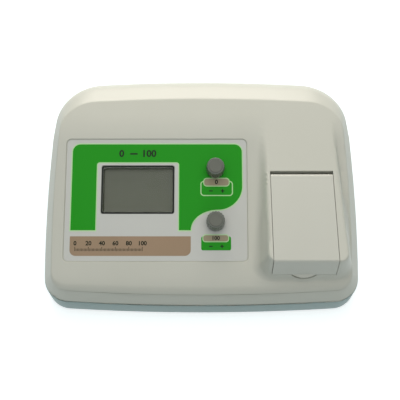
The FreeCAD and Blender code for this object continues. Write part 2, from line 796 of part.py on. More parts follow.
def optics_pieces():
    """Light side behind the well and measuring side before it, all on the beam's line."""
    seat = well_rear + aperture_wall
    save("colour_filter", rod(optic_radius - press_gap, filter_thickness, V(well_x, seat, beam_z), beam))
    lens_low = seat + filter_thickness
    rim = rod(optic_radius - press_gap, lens_rim, V(well_x, lens_low, beam_z), beam)
    dome_radius = ((optic_radius - press_gap) ** 2 + lens_bulge ** 2) / (2 * lens_bulge)
    dome = Part.makeSphere(dome_radius, V(well_x, lens_low + lens_rim + lens_bulge - dome_radius, beam_z))
    crown = rod(optic_radius - press_gap, lens_bulge, V(well_x, lens_low + lens_rim, beam_z), beam)
    bulge = dome.common(crown)
    save("condenser_lens", joined([rim, bulge]))

    holder = joined([rod(lamp_flange_radius, lamp_flange_thickness, V(well_x, block_rear, beam_z), beam),
                     rod(lamp_body_radius, lamp_body_length, V(well_x, block_rear, beam_z), beam)])
    spigot_low = lens_low + lens_rim + lens_bulge + part_gap
    spigot = rod(optic_radius - press_gap, block_rear - spigot_low, V(well_x, spigot_low, beam_z), beam)
    holder = joined([holder, spigot])
    led_base = block_rear + lamp_body_length - led_length
    bore = rod(led_radius + press_gap, case_height, V(well_x, spigot_low - overrun, beam_z), beam)
    holder = holder.cut(bore)
    save("lamp_holder", holder)
    led = rod(led_radius, led_length, V(well_x, led_base, beam_z), beam)
    legs = [box(well_x + x - led_leg / 2, well_x + x + led_leg / 2, led_base + led_length,
                led_base + led_length + lamp_flange_thickness, beam_z - led_leg / 2, beam_z + led_leg / 2)
            for x in (-led_radius / 2, led_radius / 2)]
    save("lamp", joined([led] + legs))

    can_rear = well_front - aperture_wall
    board_y = block_front - board_thickness
    save("photodiode", rod(detector_radius, can_rear - block_front, V(well_x, block_front, beam_z), beam))
    board = box(well_x - detector_board_width / 2, well_x + detector_board_width / 2, board_y, block_front,
                beam_z - detector_board_height / 2, beam_z + detector_board_height / 2)
    screws = []
    for x in detector_screw_places:
        spot = V(x, board_y, beam_z)
        board = board.cut(rod(screw_radius + part_gap, board_thickness, spot, beam))
        screws.append(screw(screw_head_radius, screw_head_height, screw_radius, detector_screw_length, spot,
                            beam))
    save("detector_board", board)
    save("detector_screws", group(screws))


def board_pieces():
    """Main board on its posts, with chips, capacitors and a small mains transformer."""
    low = floor_top + board_rise
    top = low + board_thickness
    board = box(-main_board_left, main_board_right, -main_board_front, main_board_rear, low, top)
    screws = []
    for x, y in main_board_places():
        board = board.cut(rod(screw_radius + part_gap, board_thickness, V(x, y, low), V(0, 0, 1)))
        screws.append(screw(screw_head_radius, screw_head_height, screw_radius, board_screw_length,
                            V(x, y, top), V(0, 0, -1)))
    save("main_board", board)
    save("board_screws", group(screws))
    chips = []
    for place in range(chip_count):
        x = -main_board_left + chip_pitch / 2 + chip_pitch * place
        y = chip_row_inset - main_board_front
        chips.append(box(x, x + chip_length, y, y + chip_width, top, top + chip_height))
    save("board_chips", group(chips))
    capacitors = []
    for place in range(capacitor_count):
        x = -transformer_x + core_length + capacitor_pitch * place
        capacitors.append(rod(capacitor_radius, capacitor_height, V(x, transformer_y, top), V(0, 0, 1)))
    save("board_capacitors", group(capacitors))
    core = box(-transformer_x - core_length / 2, -transformer_x + core_length / 2,
               transformer_y - core_width / 2, transformer_y + core_width / 2, top, top + core_height)
    window = box(-transformer_x - core_length / 2 + core_limb, -transformer_x + core_length / 2 - core_limb,
                 transformer_y - core_width / 2 - overrun, transformer_y + core_width / 2 + overrun,
                 top + core_limb, top + core_height - core_limb)
    save("transformer_core", core.cut(window))
    gap = part_gap / 2
    winding = box(-transformer_x - core_length / 2 + core_limb + gap,
                  -transformer_x + core_length / 2 - core_limb - gap,
                  transformer_y - core_width / 2 - winding_overhang,
                  transformer_y + core_width / 2 + winding_overhang,
                  top + core_limb, top + core_height - core_limb - gap)
    save("transformer_windings", winding)


def rear_pieces():
    """Rear panel and the mains inlet, fuse and switch that it carries."""
    z = rear_panel_z
    face = rear_panel_y
    plate = box(-rear_panel_half_width, rear_panel_half_width, face - rear_panel_thickness, face,
                rear_panel_bottom, rear_panel_top)
    back = face - rear_panel_thickness
    holes = [box(-inlet_x - inlet_width / 2, -inlet_x + inlet_width / 2, back - overrun, face + overrun,
                 z - inlet_height / 2, z + inlet_height / 2),
             rod(fuse_radius, rear_panel_thickness + 2 * overrun, V(-fuse_x, back - overrun, z), beam),
             box(switch_x - switch_width / 2, switch_x + switch_width / 2, back - overrun, face + overrun,
                 z - switch_height / 2, z + switch_height / 2)]
    screws = []
    for x in rear_screw_places():
        holes.append(rod(screw_radius + part_gap, rear_panel_thickness + 2 * overrun, V(x, back - overrun, z),
                         beam))
        screws.append(screw(screw_head_radius, screw_head_height, screw_radius, rear_screw_length,
                            V(x, back, z), beam))
    save("rear_panel", less(plate, holes))
    save("rear_panel_screws", group(screws))

    body = box(-inlet_x - inlet_width / 2 + press_gap, -inlet_x + inlet_width / 2 - press_gap,
               face + inlet_flange_thickness - inlet_depth, face + inlet_flange_thickness,
               z - inlet_height / 2 + press_gap, z + inlet_height / 2 - press_gap)
    flange = rounded_block(-inlet_x, z, inlet_width + 2 * inlet_flange, inlet_height + 2 * inlet_flange,
                           face, inlet_flange_thickness)
    socket = box(-inlet_x - inlet_width / 2 + inlet_wall, -inlet_x + inlet_width / 2 - inlet_wall,
                 face + inlet_flange_thickness + inlet_wall - inlet_depth, half_depth + overrun,
                 z - inlet_height / 2 + inlet_wall, z + inlet_height / 2 - inlet_wall)
    inlet = joined([body, flange]).cut(socket)
    pins = []
    pin_front = face + inlet_flange_thickness - pin_set_in
    pin_back = face + inlet_flange_thickness - inlet_depth - pin_tail
    for x, rise in ((-pin_spread, -pin_rise), (0, pin_rise), (pin_spread, -pin_rise)):
        centre_x = -inlet_x + x
        centre_z = z + rise
        pins.append(box(centre_x - pin_thickness / 2, centre_x + pin_thickness / 2, pin_back, pin_front,
                        centre_z - pin_width / 2, centre_z + pin_width / 2))
    save("power_inlet", less(inlet, pins))
    save("inlet_pins", group(pins))

    base = V(-fuse_x, face + fuse_flange_thickness - fuse_length, z)
    holder = joined([rod(fuse_radius - press_gap, fuse_length, base, beam),
                     rod(fuse_flange_radius, fuse_flange_thickness, V(-fuse_x, face, z), beam)])
    cap_depth = fuse_length / 2
    cap_back = face + fuse_flange_thickness - cap_depth
    holder = holder.cut(rod(fuse_cap_radius + press_gap, cap_depth, V(-fuse_x, cap_back, z), beam))
    save("fuse_holder", holder)
    cap = rod(fuse_cap_radius, cap_depth + fuse_cap_proud, V(-fuse_x, cap_back, z), beam)
    slot_y = face + fuse_flange_thickness + fuse_cap_proud - fuse_slot_width
    slot = box(-fuse_x - fuse_radius, -fuse_x + fuse_radius, slot_y, slot_y + overrun,
               z - fuse_slot_width / 2, z + fuse_slot_width / 2)
    save("fuse_cap", cap.cut(slot))
    switch_pieces(face, z)


def rounded_block(x, z, width, height, face, thickness):
    """Upright flange on the rear panel with rounded corners."""
    block = box(x - width / 2, x + width / 2, face, face + thickness, z - height / 2, z + height / 2)
    corners = [e for e in block.Edges if abs(e.tangentAt(e.FirstParameter).y) > math.sqrt(0.5)]
    return block.makeFillet(wall, corners)


def switch_pieces(face, z):
    """Rocker switch: a frame snapped into the panel, and a rocker on two stub pivots."""
    frame = joined([box(switch_x - switch_width / 2 + press_gap, switch_x + switch_width / 2 - press_gap,
                        face - switch_depth, face + switch_flange_thickness,
                        z - switch_height / 2 + press_gap, z + switch_height / 2 - press_gap),
                    rounded_block(switch_x, z, switch_width + 2 * switch_flange,
                                  switch_height + 2 * switch_flange, face, switch_flange_thickness)])
    room_x = switch_width / 2 - switch_wall
    pivot = V(switch_x, face + switch_flange_thickness - rocker_pivot_depth, z)
    reach = rocker_radius + part_gap
    well = rod(reach, 2 * room_x, pivot - V(room_x, 0, 0), V(1, 0, 0))
    mouth = box(switch_x - room_x, switch_x + room_x, pivot.y, half_depth + overrun, z - reach, z + reach)
    pin_room = rod(rocker_pin_radius + running_gap, switch_width - switch_wall,
                   pivot - V(switch_width / 2 - switch_wall / 2, 0, 0), V(1, 0, 0))
    save("switch_frame", less(frame, [well, mouth, pin_room]))
    tilt = math.radians(rocker_tilt)
    half_rocker = room_x - part_gap
    disc = rod(rocker_radius, 2 * half_rocker, pivot - V(half_rocker, 0, 0), V(1, 0, 0))
    far = rocker_radius + overrun
    rise = far * math.tan(tilt)
    left = switch_x - half_rocker
    face_points = [V(left, pivot.y + rocker_pivot_depth, z),
                   V(left, pivot.y + rocker_pivot_depth + rise, z + far),
                   V(left, pivot.y - far, z + far), V(left, pivot.y - far, z - far),
                   V(left, pivot.y + rocker_pivot_depth + rise, z - far)]
    rocker = disc.common(prism(face_points, V(2 * half_rocker, 0, 0)))
    stub = rod(rocker_pin_radius, switch_width - switch_wall - 2 * part_gap,
               pivot - V(switch_width / 2 - switch_wall / 2 - part_gap, 0, 0), V(1, 0, 0))
    rocker = joined([rocker, stub])
    rocker.rotate(pivot, V(1, 0, 0), rocker_tilt)
    save("switch_rocker", rocker)


case_pieces()
panel_pieces()
control_pieces("zero", zero_knob_place)
control_pieces("span", span_knob_place)
lid_pieces()
chamber_pieces()
optics_pieces()
board_pieces()
rear_pieces()
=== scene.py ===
# Looks of a benchtop colorimeter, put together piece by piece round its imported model.
# Sizes are in millimetres, and new_piece turns them into metres.

import json
import math

import bmesh
import bpy
import numpy as np
from mathutils import Euler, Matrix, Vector

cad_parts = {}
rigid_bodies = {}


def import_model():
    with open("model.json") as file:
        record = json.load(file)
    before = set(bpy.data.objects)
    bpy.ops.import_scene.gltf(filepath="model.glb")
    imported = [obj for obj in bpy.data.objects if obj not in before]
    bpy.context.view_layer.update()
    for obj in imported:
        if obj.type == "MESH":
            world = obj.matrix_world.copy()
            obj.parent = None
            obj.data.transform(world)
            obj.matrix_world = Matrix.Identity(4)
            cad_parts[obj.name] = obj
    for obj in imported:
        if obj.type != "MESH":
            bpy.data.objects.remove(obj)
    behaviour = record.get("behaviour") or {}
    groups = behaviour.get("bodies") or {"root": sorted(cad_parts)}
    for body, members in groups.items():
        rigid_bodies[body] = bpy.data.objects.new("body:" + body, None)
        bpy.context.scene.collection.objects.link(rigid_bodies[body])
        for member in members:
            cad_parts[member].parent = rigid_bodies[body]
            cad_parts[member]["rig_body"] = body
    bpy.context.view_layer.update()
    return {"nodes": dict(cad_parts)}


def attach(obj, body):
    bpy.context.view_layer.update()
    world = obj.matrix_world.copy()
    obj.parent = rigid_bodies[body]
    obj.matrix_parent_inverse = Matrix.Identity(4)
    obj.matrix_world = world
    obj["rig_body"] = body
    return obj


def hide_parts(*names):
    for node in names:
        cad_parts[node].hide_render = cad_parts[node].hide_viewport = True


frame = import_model()


# Top cover
# One thin-walled moulding: sloping panel, level plateau, long rear bevel, leaning skirt and the
# raised chamber block, with its openings cut through. Moulded in warm off-white ABS.
millimetre = 0.001
case_half_width = 135.3
case_half_depth = 102.0
case_height = 73.0
wall = 2.5
panel_slope = math.radians(12.66)
plateau_depth = 29.9
skirt_drop = 18.0
skirt_slope = math.radians(65.0)
front_skirt_run = 6.9
parting_slope = math.radians(12.2)
rear_bevel_run = 27.9
rear_shoulder_run = 7.0
rear_shoulder_drop = 9.0
front_corner_radius = 21.0
rear_corner_radius = 42.0
rear_crease_radius = 31.0
side_bow_radius = 1200.0
side_widest = 57.0
front_bow_radius = 1850.0
rear_bow_radius = 1430.0
skirt_run = skirt_drop / math.tan(skirt_slope)
shoulder_run = (skirt_drop - rear_shoulder_drop) / math.tan(skirt_slope)
front_lean = front_skirt_run / skirt_run
front_crease_y = front_skirt_run - case_half_depth
fold_y = case_half_depth - rear_bevel_run - plateau_depth
front_crease_z = case_height - (fold_y - front_crease_y) * math.tan(panel_slope)
slope_length = (fold_y - front_crease_y) / math.cos(panel_slope)
fold_softness = 14.0
crease_round = 1.3
shoulder_round = 7.0
crease_margin = 6.0
front_softness = 16.0
front_fall = 1.3
front_crease_round = 5.0
round_steps = 8
cover_sharp = math.radians(50.0)

# The raised chamber block and the lid's opening in it
boss_right_rear = case_half_width - 20.3
boss_right_front = case_half_width - 15.3
boss_left = boss_right_rear - 60.5
boss_front = 23.5 - case_half_depth
boss_rear = fold_y + plateau_depth / 4
boss_corner_radius = 8.0
boss_draft = math.radians(14.0)
boss_lean = math.radians(12.5)
boss_top_round = 2.2
boss_front_round = 1.3
boss_left_foot_round = 8.5
boss_foot_round = 2.5
lid_left = boss_left + 4.1
lid_right = lid_left + 52.8
lid_rear = 1.1
lid_gap = 0.4
lid_slot = 1.6
skirt_bottom = case_height - 20.5
chamber_floor = case_height - 9.0
step_top = chamber_floor + 2.0
flange_top = chamber_floor - 2.0
shelf_top = skirt_bottom - lid_gap
shelf_bottom = shelf_top - 2.4
scoop_half_width = 11.0
scoop_drop = 6.5
scoop_depth = 3.0
overrun = 5.0

# The panel's shallow recess and the holes through it, in places across and up the slope
recess_left = 18.8 - case_half_width
recess_right = boss_left - 15.5
recess_bottom = 26.24
recess_top = slope_length - 10.2
recess_depth = 1.0
recess_radius = 4.0
recess_taper = 0.8
window_left = recess_left + 30.4
knob_x = recess_right - 27.0
window_right = knob_x - 35.05
window_top = recess_top - 23.1
window_bottom = window_top - 42.7
window_radius = 2.0
window_floor = -recess_depth - 1.9
window_ledge = 1.4
recess_box = (recess_left, recess_right, recess_bottom, recess_top)
window_box = (window_left, window_right, window_bottom, window_top)
seat_depth = 2.0
zero_knob_place = recess_top - 27.0
span_knob_place = zero_knob_place - 46.0
shaft_hole_radius = 4.7


def at_heights(*levels):
    """Points of plan outlines, each outline given with its height."""
    return np.vstack([np.column_stack([outline, np.full(len(outline), height)])
                      for outline, height in levels])


def case_outline(half, front, rear, front_radius, rear_radius, inset, turn):
    """Points of the bowed plan outline. A turn from 0 to 8 runs along eight tangent arcs, one unit
    each: front, right front corner, right side, right rear corner, and back down the left."""
    side = np.array([half - side_bow_radius, side_widest - case_half_depth])
    centres, radii, tangents = [], [], []
    for end, bow, radius, way in ((front, front_bow_radius, front_radius, -1),
                                  (rear, rear_bow_radius, rear_radius, 1)):
        middle = np.array([0, end - way * bow])
        span = np.linalg.norm(middle - side)
        along = (middle - side) / span
        across = np.array([-along[1], along[0]]) * way
        reach = side_bow_radius - radius
        foot = (reach ** 2 - (bow - radius) ** 2 + span ** 2) / (2 * span)
        corner = side + along * foot + across * math.sqrt(reach ** 2 - foot ** 2)
        centres.append((middle, corner))
        radii.append((bow - inset, radius - inset))
        tangents.append([math.atan2(*(corner - point)[::-1]) for point in (middle, side)])
    (front_centre, front_corner), (rear_centre, rear_corner) = centres
    (front_end, front_side), (rear_end, rear_side) = tangents
    flip = np.array([-1, 1])
    centre = np.array([front_centre, front_corner, side, rear_corner,
                       rear_centre, rear_corner * flip, side * flip, front_corner * flip])
    side_radius = side_bow_radius - inset
    radius = np.array([radii[0][0], radii[0][1], side_radius, radii[1][1],
                       radii[1][0], radii[1][1], side_radius, radii[0][1]])
    start = np.array([-math.pi - front_end, front_end, front_side, rear_side,
                      rear_end, math.pi - rear_end, math.pi - rear_side, math.pi - front_side])
    stop = np.append(start[1:], math.pi - front_end)
    turn = np.mod(turn, 8)
    arc = np.minimum(turn.astype(int), 7)
    angle = start[arc] + (stop - start)[arc] * (turn - arc)
    return centre[arc] + radius[arc][:, None] * np.stack([np.cos(angle), np.sin(angle)], 1)


def skirt_ring(share, inset, drop, turn):
    """Ring of level points between the shoulder, at share 0, and the crease, at share 1."""
    run = shoulder_run + (skirt_run - shoulder_run) * share
    rear = case_half_depth - rear_shoulder_run - (rear_bevel_run - rear_shoulder_run) * share
    shoulder_radius = (rear_corner_radius + rear_crease_radius) / 2
    rear_radius = shoulder_radius + (rear_crease_radius - shoulder_radius) * share
    plan = case_outline(case_half_width - run, run * front_lean - case_half_depth, rear,
                        front_corner_radius - run, rear_radius, inset, turn)
    return at_heights((plan, case_height - rear_shoulder_drop * (1 - share) - drop))


def edge_ring(inset, turn):
    """Ring along the lower edge: points on the straight skirt between its level foot and the
    shoulder. Their share of the way up is their distance before the fold, times how much less the
    parting line falls than the panel does, over the skirt's rise."""
    plan = case_outline(case_half_width, -case_half_depth, case_half_depth, front_corner_radius,
                        rear_corner_radius, inset, turn)
    foot = at_heights((plan, case_height - skirt_drop))
    skirt = skirt_ring(0, inset, 0, turn) - foot
    less_fall = math.tan(panel_slope) - math.tan(parting_slope)
    share = np.maximum(fold_y - foot[:, 1], 0) * less_fall / (skirt[:, 2] + skirt[:, 1] * less_fall)
    return foot + skirt * share[:, None]


def panel_fall(y):
    """How far the case falls towards the front: a straight slope before the fold, eased by a
    parabola, and a second parabola that bends the last stretch before the front crease down."""
    ahead = fold_y - y
    eased = (ahead + fold_softness) ** 2 / (4 * fold_softness)
    slope = np.where(ahead > fold_softness, ahead, np.where(ahead < -fold_softness, 0, eased))
    bent = np.maximum((front_crease_y + front_softness - y) / front_softness, 0) ** 2
    return front_fall * bent + math.tan(panel_slope) * slope


def boss_rise(x, y, ground, inset):
    """Height of the chamber block over the ground, from the plan distance to its rounded outline: a
    level top, an arc, a drafted wall and an arc back to the ground. Where the block is low, the wall
    has no length and leans less, so that the two arcs meet."""
    top = case_height - inset
    room = np.where(y < fold_y + fold_softness, np.maximum(top - ground, 0), 0)
    back = (y - boss_front) / (boss_rear - boss_front)
    right = boss_right_front + (boss_right_rear - boss_right_front) * back
    across = np.maximum(boss_left + inset - x, x - right + inset) + boss_corner_radius
    forward = (boss_front + inset - y) * math.tan(boss_draft) / math.tan(boss_lean) + boss_corner_radius
    away = np.hypot(np.maximum(across, 0), np.maximum(forward, 0))
    distance = away + np.minimum(np.maximum(across, forward), 0) - boss_corner_radius
    frontness = np.clip(forward / np.maximum(away, millimetre), 0, 1) ** 2
    leftness = np.clip((lid_right - x) / (lid_right - lid_left), 0, 1) ** 2 * (1 - frontness)
    head = boss_top_round + (boss_front_round - boss_top_round) * frontness
    foot = boss_foot_round + (boss_left_foot_round - boss_foot_round) * leftness
    steepness = np.minimum(math.pi / 2 - boss_draft, np.arccos(np.maximum(1 - room / (head + foot), 0)))
    sine, cosine = np.sin(steepness), np.cos(steepness)
    tangent = np.maximum(sine / cosine, millimetre)
    head_start = -head * np.tan(steepness / 2)
    head_end = head_start + head * sine
    wall_run = np.maximum(room - (head + foot) * (1 - cosine), 0) / tangent
    foot_start = head_end + wall_run
    foot_end = foot_start + foot * sine
    over_head = np.sqrt(np.maximum(head ** 2 - (distance - head_start) ** 2, 0))
    over_foot = np.sqrt(np.maximum(foot ** 2 - (foot_end - distance) ** 2, 0))
    on_wall = room - head * (1 - cosine) - (distance - head_end) * tangent
    ends = [distance < end for end in (head_start, head_end, foot_start, foot_end)]
    return np.select(ends, [room, room - head + over_head, on_wall, foot - over_foot], 0)


def rounded_rows(rings, tangents):
    """Rows of points along the rings, with each middle ring's corner replaced by a parabola. Its
    tangents take nine tenths of their segment at most."""
    rows = [rings[0]]
    for before, corner, after, tangent in zip(rings, rings[1:], rings[2:], tangents):
        start, end = [corner + arm * np.minimum(tangent / np.linalg.norm(arm, axis=1), 0.9)[:, None]
                      for arm in (before - corner, after - corner)]
        rows.append((rows[-1] * 2 + start) / 3)
        rows.append((rows[-2] + start * 2) / 3)
        for share in np.linspace(0, 1, round_steps):
            rows.append(start * (1 - share) ** 2 + corner * 2 * share * (1 - share) + end * share ** 2)
    return rows + [rings[-1]]


def quads(place, after):
    """Faces between the rows of a grid of point places, each place joined to the one after it."""
    return np.stack([place[:-1], after[:-1], after[1:], place[1:]], 2).reshape(-1, 4)


def cover_sheet(inset, top_inset, drop, columns, rows):
    """One side of the cover: rings round the skirt, and a sheet between them blended from its four
    edges. Returns the points, their faces seen from above, and the places of the lowest ring."""
    dense = [np.linspace(corner, corner + 2, 2001) for corner in (-0.5, 1.5, 3.5, 5.5)]
    plans = [skirt_ring(1, crease_margin, drop, part)[:, :2] for part in dense]
    sides = [plans[0][:, 0], plans[1][:, 1], -plans[2][:, 0], -plans[3][:, 1]]
    shares = [columns, rows, columns, 1 - rows[::-1]]
    turns = [np.interp(side[0] + (side[-1] - side[0]) * share, side, part)
             for side, share, part in zip(sides, shares, dense)]
    turn = np.concatenate([part[:-1] for part in turns])
    rings = [edge_ring(inset, turn), skirt_ring(0, inset, 0, turn),
             skirt_ring(1, top_inset, drop, turn), skirt_ring(1, crease_margin, drop, turn)]
    frontness = np.clip((front_crease_y + front_softness - rings[2][:, 1]) / front_softness, 0, 1)
    round_length = crease_round + (front_crease_round - crease_round) * frontness
    level = rounded_rows(rings, (shoulder_round, round_length))
    front, right, rear, left = [skirt_ring(1, crease_margin, drop, part) for part in turns]
    rear, left = rear[::-1], left[::-1]
    u = columns[None, :, None]
    v = rows[:, None, None]
    corners = (1 - v) * ((1 - u) * front[0] + u * front[-1]) + v * ((1 - u) * rear[0] + u * rear[-1])
    sheet = (1 - v) * front + v * rear + (1 - u) * left[:, None] + u * right[:, None] - corners
    across, deep = len(columns), len(rows)
    place = np.arange(across * deep).reshape(deep, across)
    border = np.concatenate([place[0, :-1], place[:-1, -1], place[-1, :0:-1], place[:0:-1, 0]])
    ring_places = across * deep + np.arange((len(level) - 1) * len(turn)).reshape(-1, len(turn))
    bands = np.vstack([ring_places, border])
    faces = np.concatenate([quads(place[:, :-1], place[:, 1:]), quads(bands, np.roll(bands, -1, 1))])
    points = np.concatenate([sheet.reshape(-1, 3)] + level[:-1])
    points[:, 2] -= panel_fall(points[:, 1])
    points[:, 2] += boss_rise(points[:, 0], points[:, 1], points[:, 2], top_inset)
    edge = points[ring_places[0]]
    points[ring_places[0], 2] = (case_height - skirt_drop
                                 - np.maximum(fold_y - edge[:, 1], 0) * math.tan(parting_slope))
    return points, faces, ring_places[0]


def given(thing, **values):
    """The thing, with some of its properties set."""
    for name, value in values.items():
        setattr(thing, name, value)
    return thing


def add_object(name, data):
    """New object with its data, linked to the scene."""
    made = bpy.data.objects.new(name, data)
    bpy.context.scene.collection.objects.link(made)
    return made


def shade(mesh, sharp):
    """Smooth shading, but for edges past an angle."""
    mesh.polygons.foreach_set("use_smooth", np.ones(len(mesh.polygons), bool))
    mesh.set_sharp_from_angle(angle=sharp)


def new_piece(name, points, faces, body=None, slot=None, material=None, sharp=math.radians(40)):
    """Object with its points in millimetres at their own place."""
    mesh = bpy.data.meshes.new(name)
    mesh.from_pydata(np.asarray(points, float) * millimetre, [],
                     [list(map(int, face)) for face in faces])
    shade(mesh, sharp)
    piece = add_object(name, mesh)
    if material:
        mesh.materials.append(material)
    if body:
        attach(piece, body)
    return piece


def carved(piece, steps, sharp=math.radians(40)):
    """Joins or cuts other closed objects into a piece, one Boolean after another, and removes them."""
    for operation, tool in steps:
        given(piece.modifiers.new("join_or_cut", "BOOLEAN"), operation=operation, object=tool,
              solver="EXACT")
    bpy.context.view_layer.update()
    made = bpy.data.meshes.new_from_object(piece.evaluated_get(bpy.context.evaluated_depsgraph_get()))
    piece.modifiers.clear()
    piece.data = made
    made.name = piece.name
    shade(made, sharp)
    for _, tool in steps:
        bpy.data.objects.remove(tool)
    return piece


def prism_mesh(outline, low, high, upper=None):
    """Closed prism between two heights over a plan outline that runs counter-clockwise. An upper
    outline of as many points makes it taper."""
    points = at_heights((outline, low), (outline if upper is None else upper, high))
    place = np.arange(len(points)).reshape(2, -1)
    return points, [place[0, ::-1], place[1], *quads(place, np.roll(place, -1, 1))]


def corner_rounds(corners, steps=8):
    """Outline through right-angled corners given as place and radius, each replaced by a quarter
    circle: the corner plus the radius times one arm by one less sine and the other by one less
    cosine."""
    corners = np.asarray(corners, float)
    place, radius = corners[:, :2], corners[:, 2]
    before = np.roll(place, 1, 0) - place
    after = np.roll(place, -1, 0) - place
    before /= np.linalg.norm(before, axis=1)[:, None]
    after /= np.linalg.norm(after, axis=1)[:, None]
    outline = []
    for corner, back, ahead, size in zip(place, before, after, radius):
        turn = np.linspace(0, math.pi / 2, steps if size else 1)[:, None]
        outline.append(corner + size * (back * (1 - np.sin(turn)) + ahead * (1 - np.cos(turn))))
    return np.vstack(outline)


def round_box(left, right, front, rear, radius, steps=9):
    """Outline of a rectangle with round corners, counter-clockwise."""
    return corner_rounds([(right, rear, radius), (left, rear, radius), (left, front, radius),
                          (right, front, radius)], steps)


def inset_box(box, inset, radius):
    """Outline of a rectangle with round corners, each of its four edges moved inwards by the inset."""
    left, right, front, rear = box
    return round_box(left + inset, right - inset, front + inset, rear - inset, radius)


def circle(x, y, radius, steps=48):
    """Outline of a circle, counter-clockwise."""
    angles = np.arange(steps) * 2 * math.pi / steps
    return np.column_stack([x + radius * np.cos(angles), y + radius * np.sin(angles)])


def on_panel(points):
    """Points drawn flat, laid on the panel: across, up the slope from the front crease, and proud
    of it."""
    x, up, proud = np.asarray(points, float).T
    cosine, sine = math.cos(panel_slope), math.sin(panel_slope)
    return np.column_stack([x, front_crease_y + up * cosine - proud * sine,
                            front_crease_z + up * sine + proud * cosine])


def panel_piece(name, shape, *rest):
    """Piece from a mesh drawn flat and laid on the panel."""
    return new_piece(name, on_panel(shape[0]), shape[1], *rest)


def merged(parts):
    """Several closed meshes as one list of points and one of faces."""
    points, faces, count = [], [], 0
    for part_points, part_faces in parts:
        points.append(np.asarray(part_points, float))
        faces += [[index + count for index in face] for face in part_faces]
        count += len(part_points)
    return np.vstack(points), faces


def upright(profile, left, right):
    """Closed prism across X over a profile of Y and Z points that runs counter-clockwise seen from
    the right."""
    points, faces = prism_mesh(profile, left, right)
    return points[:, [2, 0, 1]], faces


def lid_front(height):
    """How far forward the leaning front of lid and block stands at a height."""
    return boss_front - (case_height - height) * math.tan(boss_lean)


def block_outline(height, inset):
    """Plan outline of the leaning chamber block at a height. Its rounded corners are squeezed from
    front to back, as its front leans less than its sides."""
    spread = (case_height - height) * math.tan(boss_draft) - inset
    outline = round_box(boss_left - spread, boss_right_front + spread, -spread, case_half_depth,
                        boss_corner_radius + spread)
    return outline * [1, math.tan(boss_lean) / math.tan(boss_draft)] + [0, boss_front]


def linear(colour):
    """Linear colour from an sRGB hex value."""
    parts = [int(colour[place:place + 2], 16) / 255 for place in (1, 3, 5)]
    return [part / 12.92 if part <= 0.04045 else ((part + 0.055) / 1.055) ** 2.4
            for part in parts] + [1]


def set_node(owner, node, settings=(), links=()):
    """Sets a node up. Settings give a property or an input its value, and links give an input its
    source: an output, or a node for its first output."""
    for name, value in dict(settings).items():
        if isinstance(name, str) and hasattr(node, name):
            setattr(node, name, value)
        else:
            node.inputs[name].default_value = value
    for name, source in dict(links).items():
        output = source.outputs[0] if isinstance(source, bpy.types.Node) else source
        owner.node_tree.links.new(output, node.inputs[name])
    return node


def add_node(owner, kind, settings=(), links=()):
    """Adds a shader node to a material or the world, with its settings and links."""
    return set_node(owner, owner.node_tree.nodes.new("ShaderNode" + kind), settings, links)


def new_material(name):
    """Empty node material with its shader and its Object coordinates."""
    material = bpy.data.materials.new(name)
    material.use_nodes = True
    shader = material.node_tree.nodes["Principled BSDF"]
    place = add_node(material, "TexCoord").outputs["Object"]
    return material, shader, place


def surface(material, shader, tones, share, grain, dullness, strength, depth):
    """Looks of a surface: two tones mixed by a share, and a roughness and a bump that follow its
    grain. The roughness goes from one end to the other over the middle of the grain's range."""
    tone = add_node(material, "Mix",
                    {"data_type": "RGBA", 6: linear(tones[0]), 7: linear(tones[1])}, {0: share})
    dull = add_node(material, "MapRange",
                    {"From Min": 0.3, "From Max": 0.7, "To Min": dullness[0],
                     "To Max": dullness[1]}, {"Value": grain})
    bump = add_node(material, "Bump",
                    {"Strength": strength, "Distance": depth * millimetre}, {"Height": grain})
    set_node(material, shader, {},
             {"Base Color": tone.outputs[2], "Roughness": dull, "Normal": bump})


def moulded(name, colour, other, roughness, grain=0.7, depth=0.012, ior=1.53, blotch=45.0):
    """Moulded plastic: a fine spark-eroded texture, drawn a little coarse so that it shows, and two
    close tones in wide blotches, as pigment and flow leave them."""
    material, shader, place = new_material(name)
    wide, spark = [add_node(material, "TexNoise",
                            {"Scale": 1 / (size * millimetre), "Detail": detail},
                            {"Vector": place}) for size, detail in ((blotch, 2.0), (grain, 3.0))]
    surface(material, shader, (colour, other), wide, spark, (roughness - 0.05, roughness + 0.06),
            strength=0.6, depth=depth)
    set_node(material, shader, {"IOR": ior})
    return material


# ABS of the cover: warm off-white with a satin sheen
case_abs = moulded("moulded_abs_off_white", "#c9c8bd", "#c5c4b8", 0.40)

# The sheet's grid lines lie closer where it bends: in front, at the fold and round the chamber block
columns = np.interp(np.arange(164), (0, 11, 44, 163), (0, 0.1, 0.66, 1))
rows = np.interp(np.arange(115), (0, 43, 86, 101, 114), (0, 0.17, 0.77, 0.88, 1))
outer_points, outer_faces, outer_edge = cover_sheet(0, 0, 0, columns, rows)
inner_points, inner_faces, inner_edge = cover_sheet(
    wall / math.sin(skirt_slope), wall * math.tan(skirt_slope / 2), wall, columns, rows)
inner_edge = inner_edge + len(outer_points)
edge_faces = np.stack([np.roll(outer_edge, -1), outer_edge, inner_edge, np.roll(inner_edge, -1)], 1)
top_cover = new_piece("top_cover_shell", np.vstack([outer_points, inner_points]),
                      np.vstack([outer_faces, inner_faces[:, ::-1] + len(outer_points), edge_faces]),
                      "case", "case_abs", case_abs, cover_sharp)
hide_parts("top_cover")

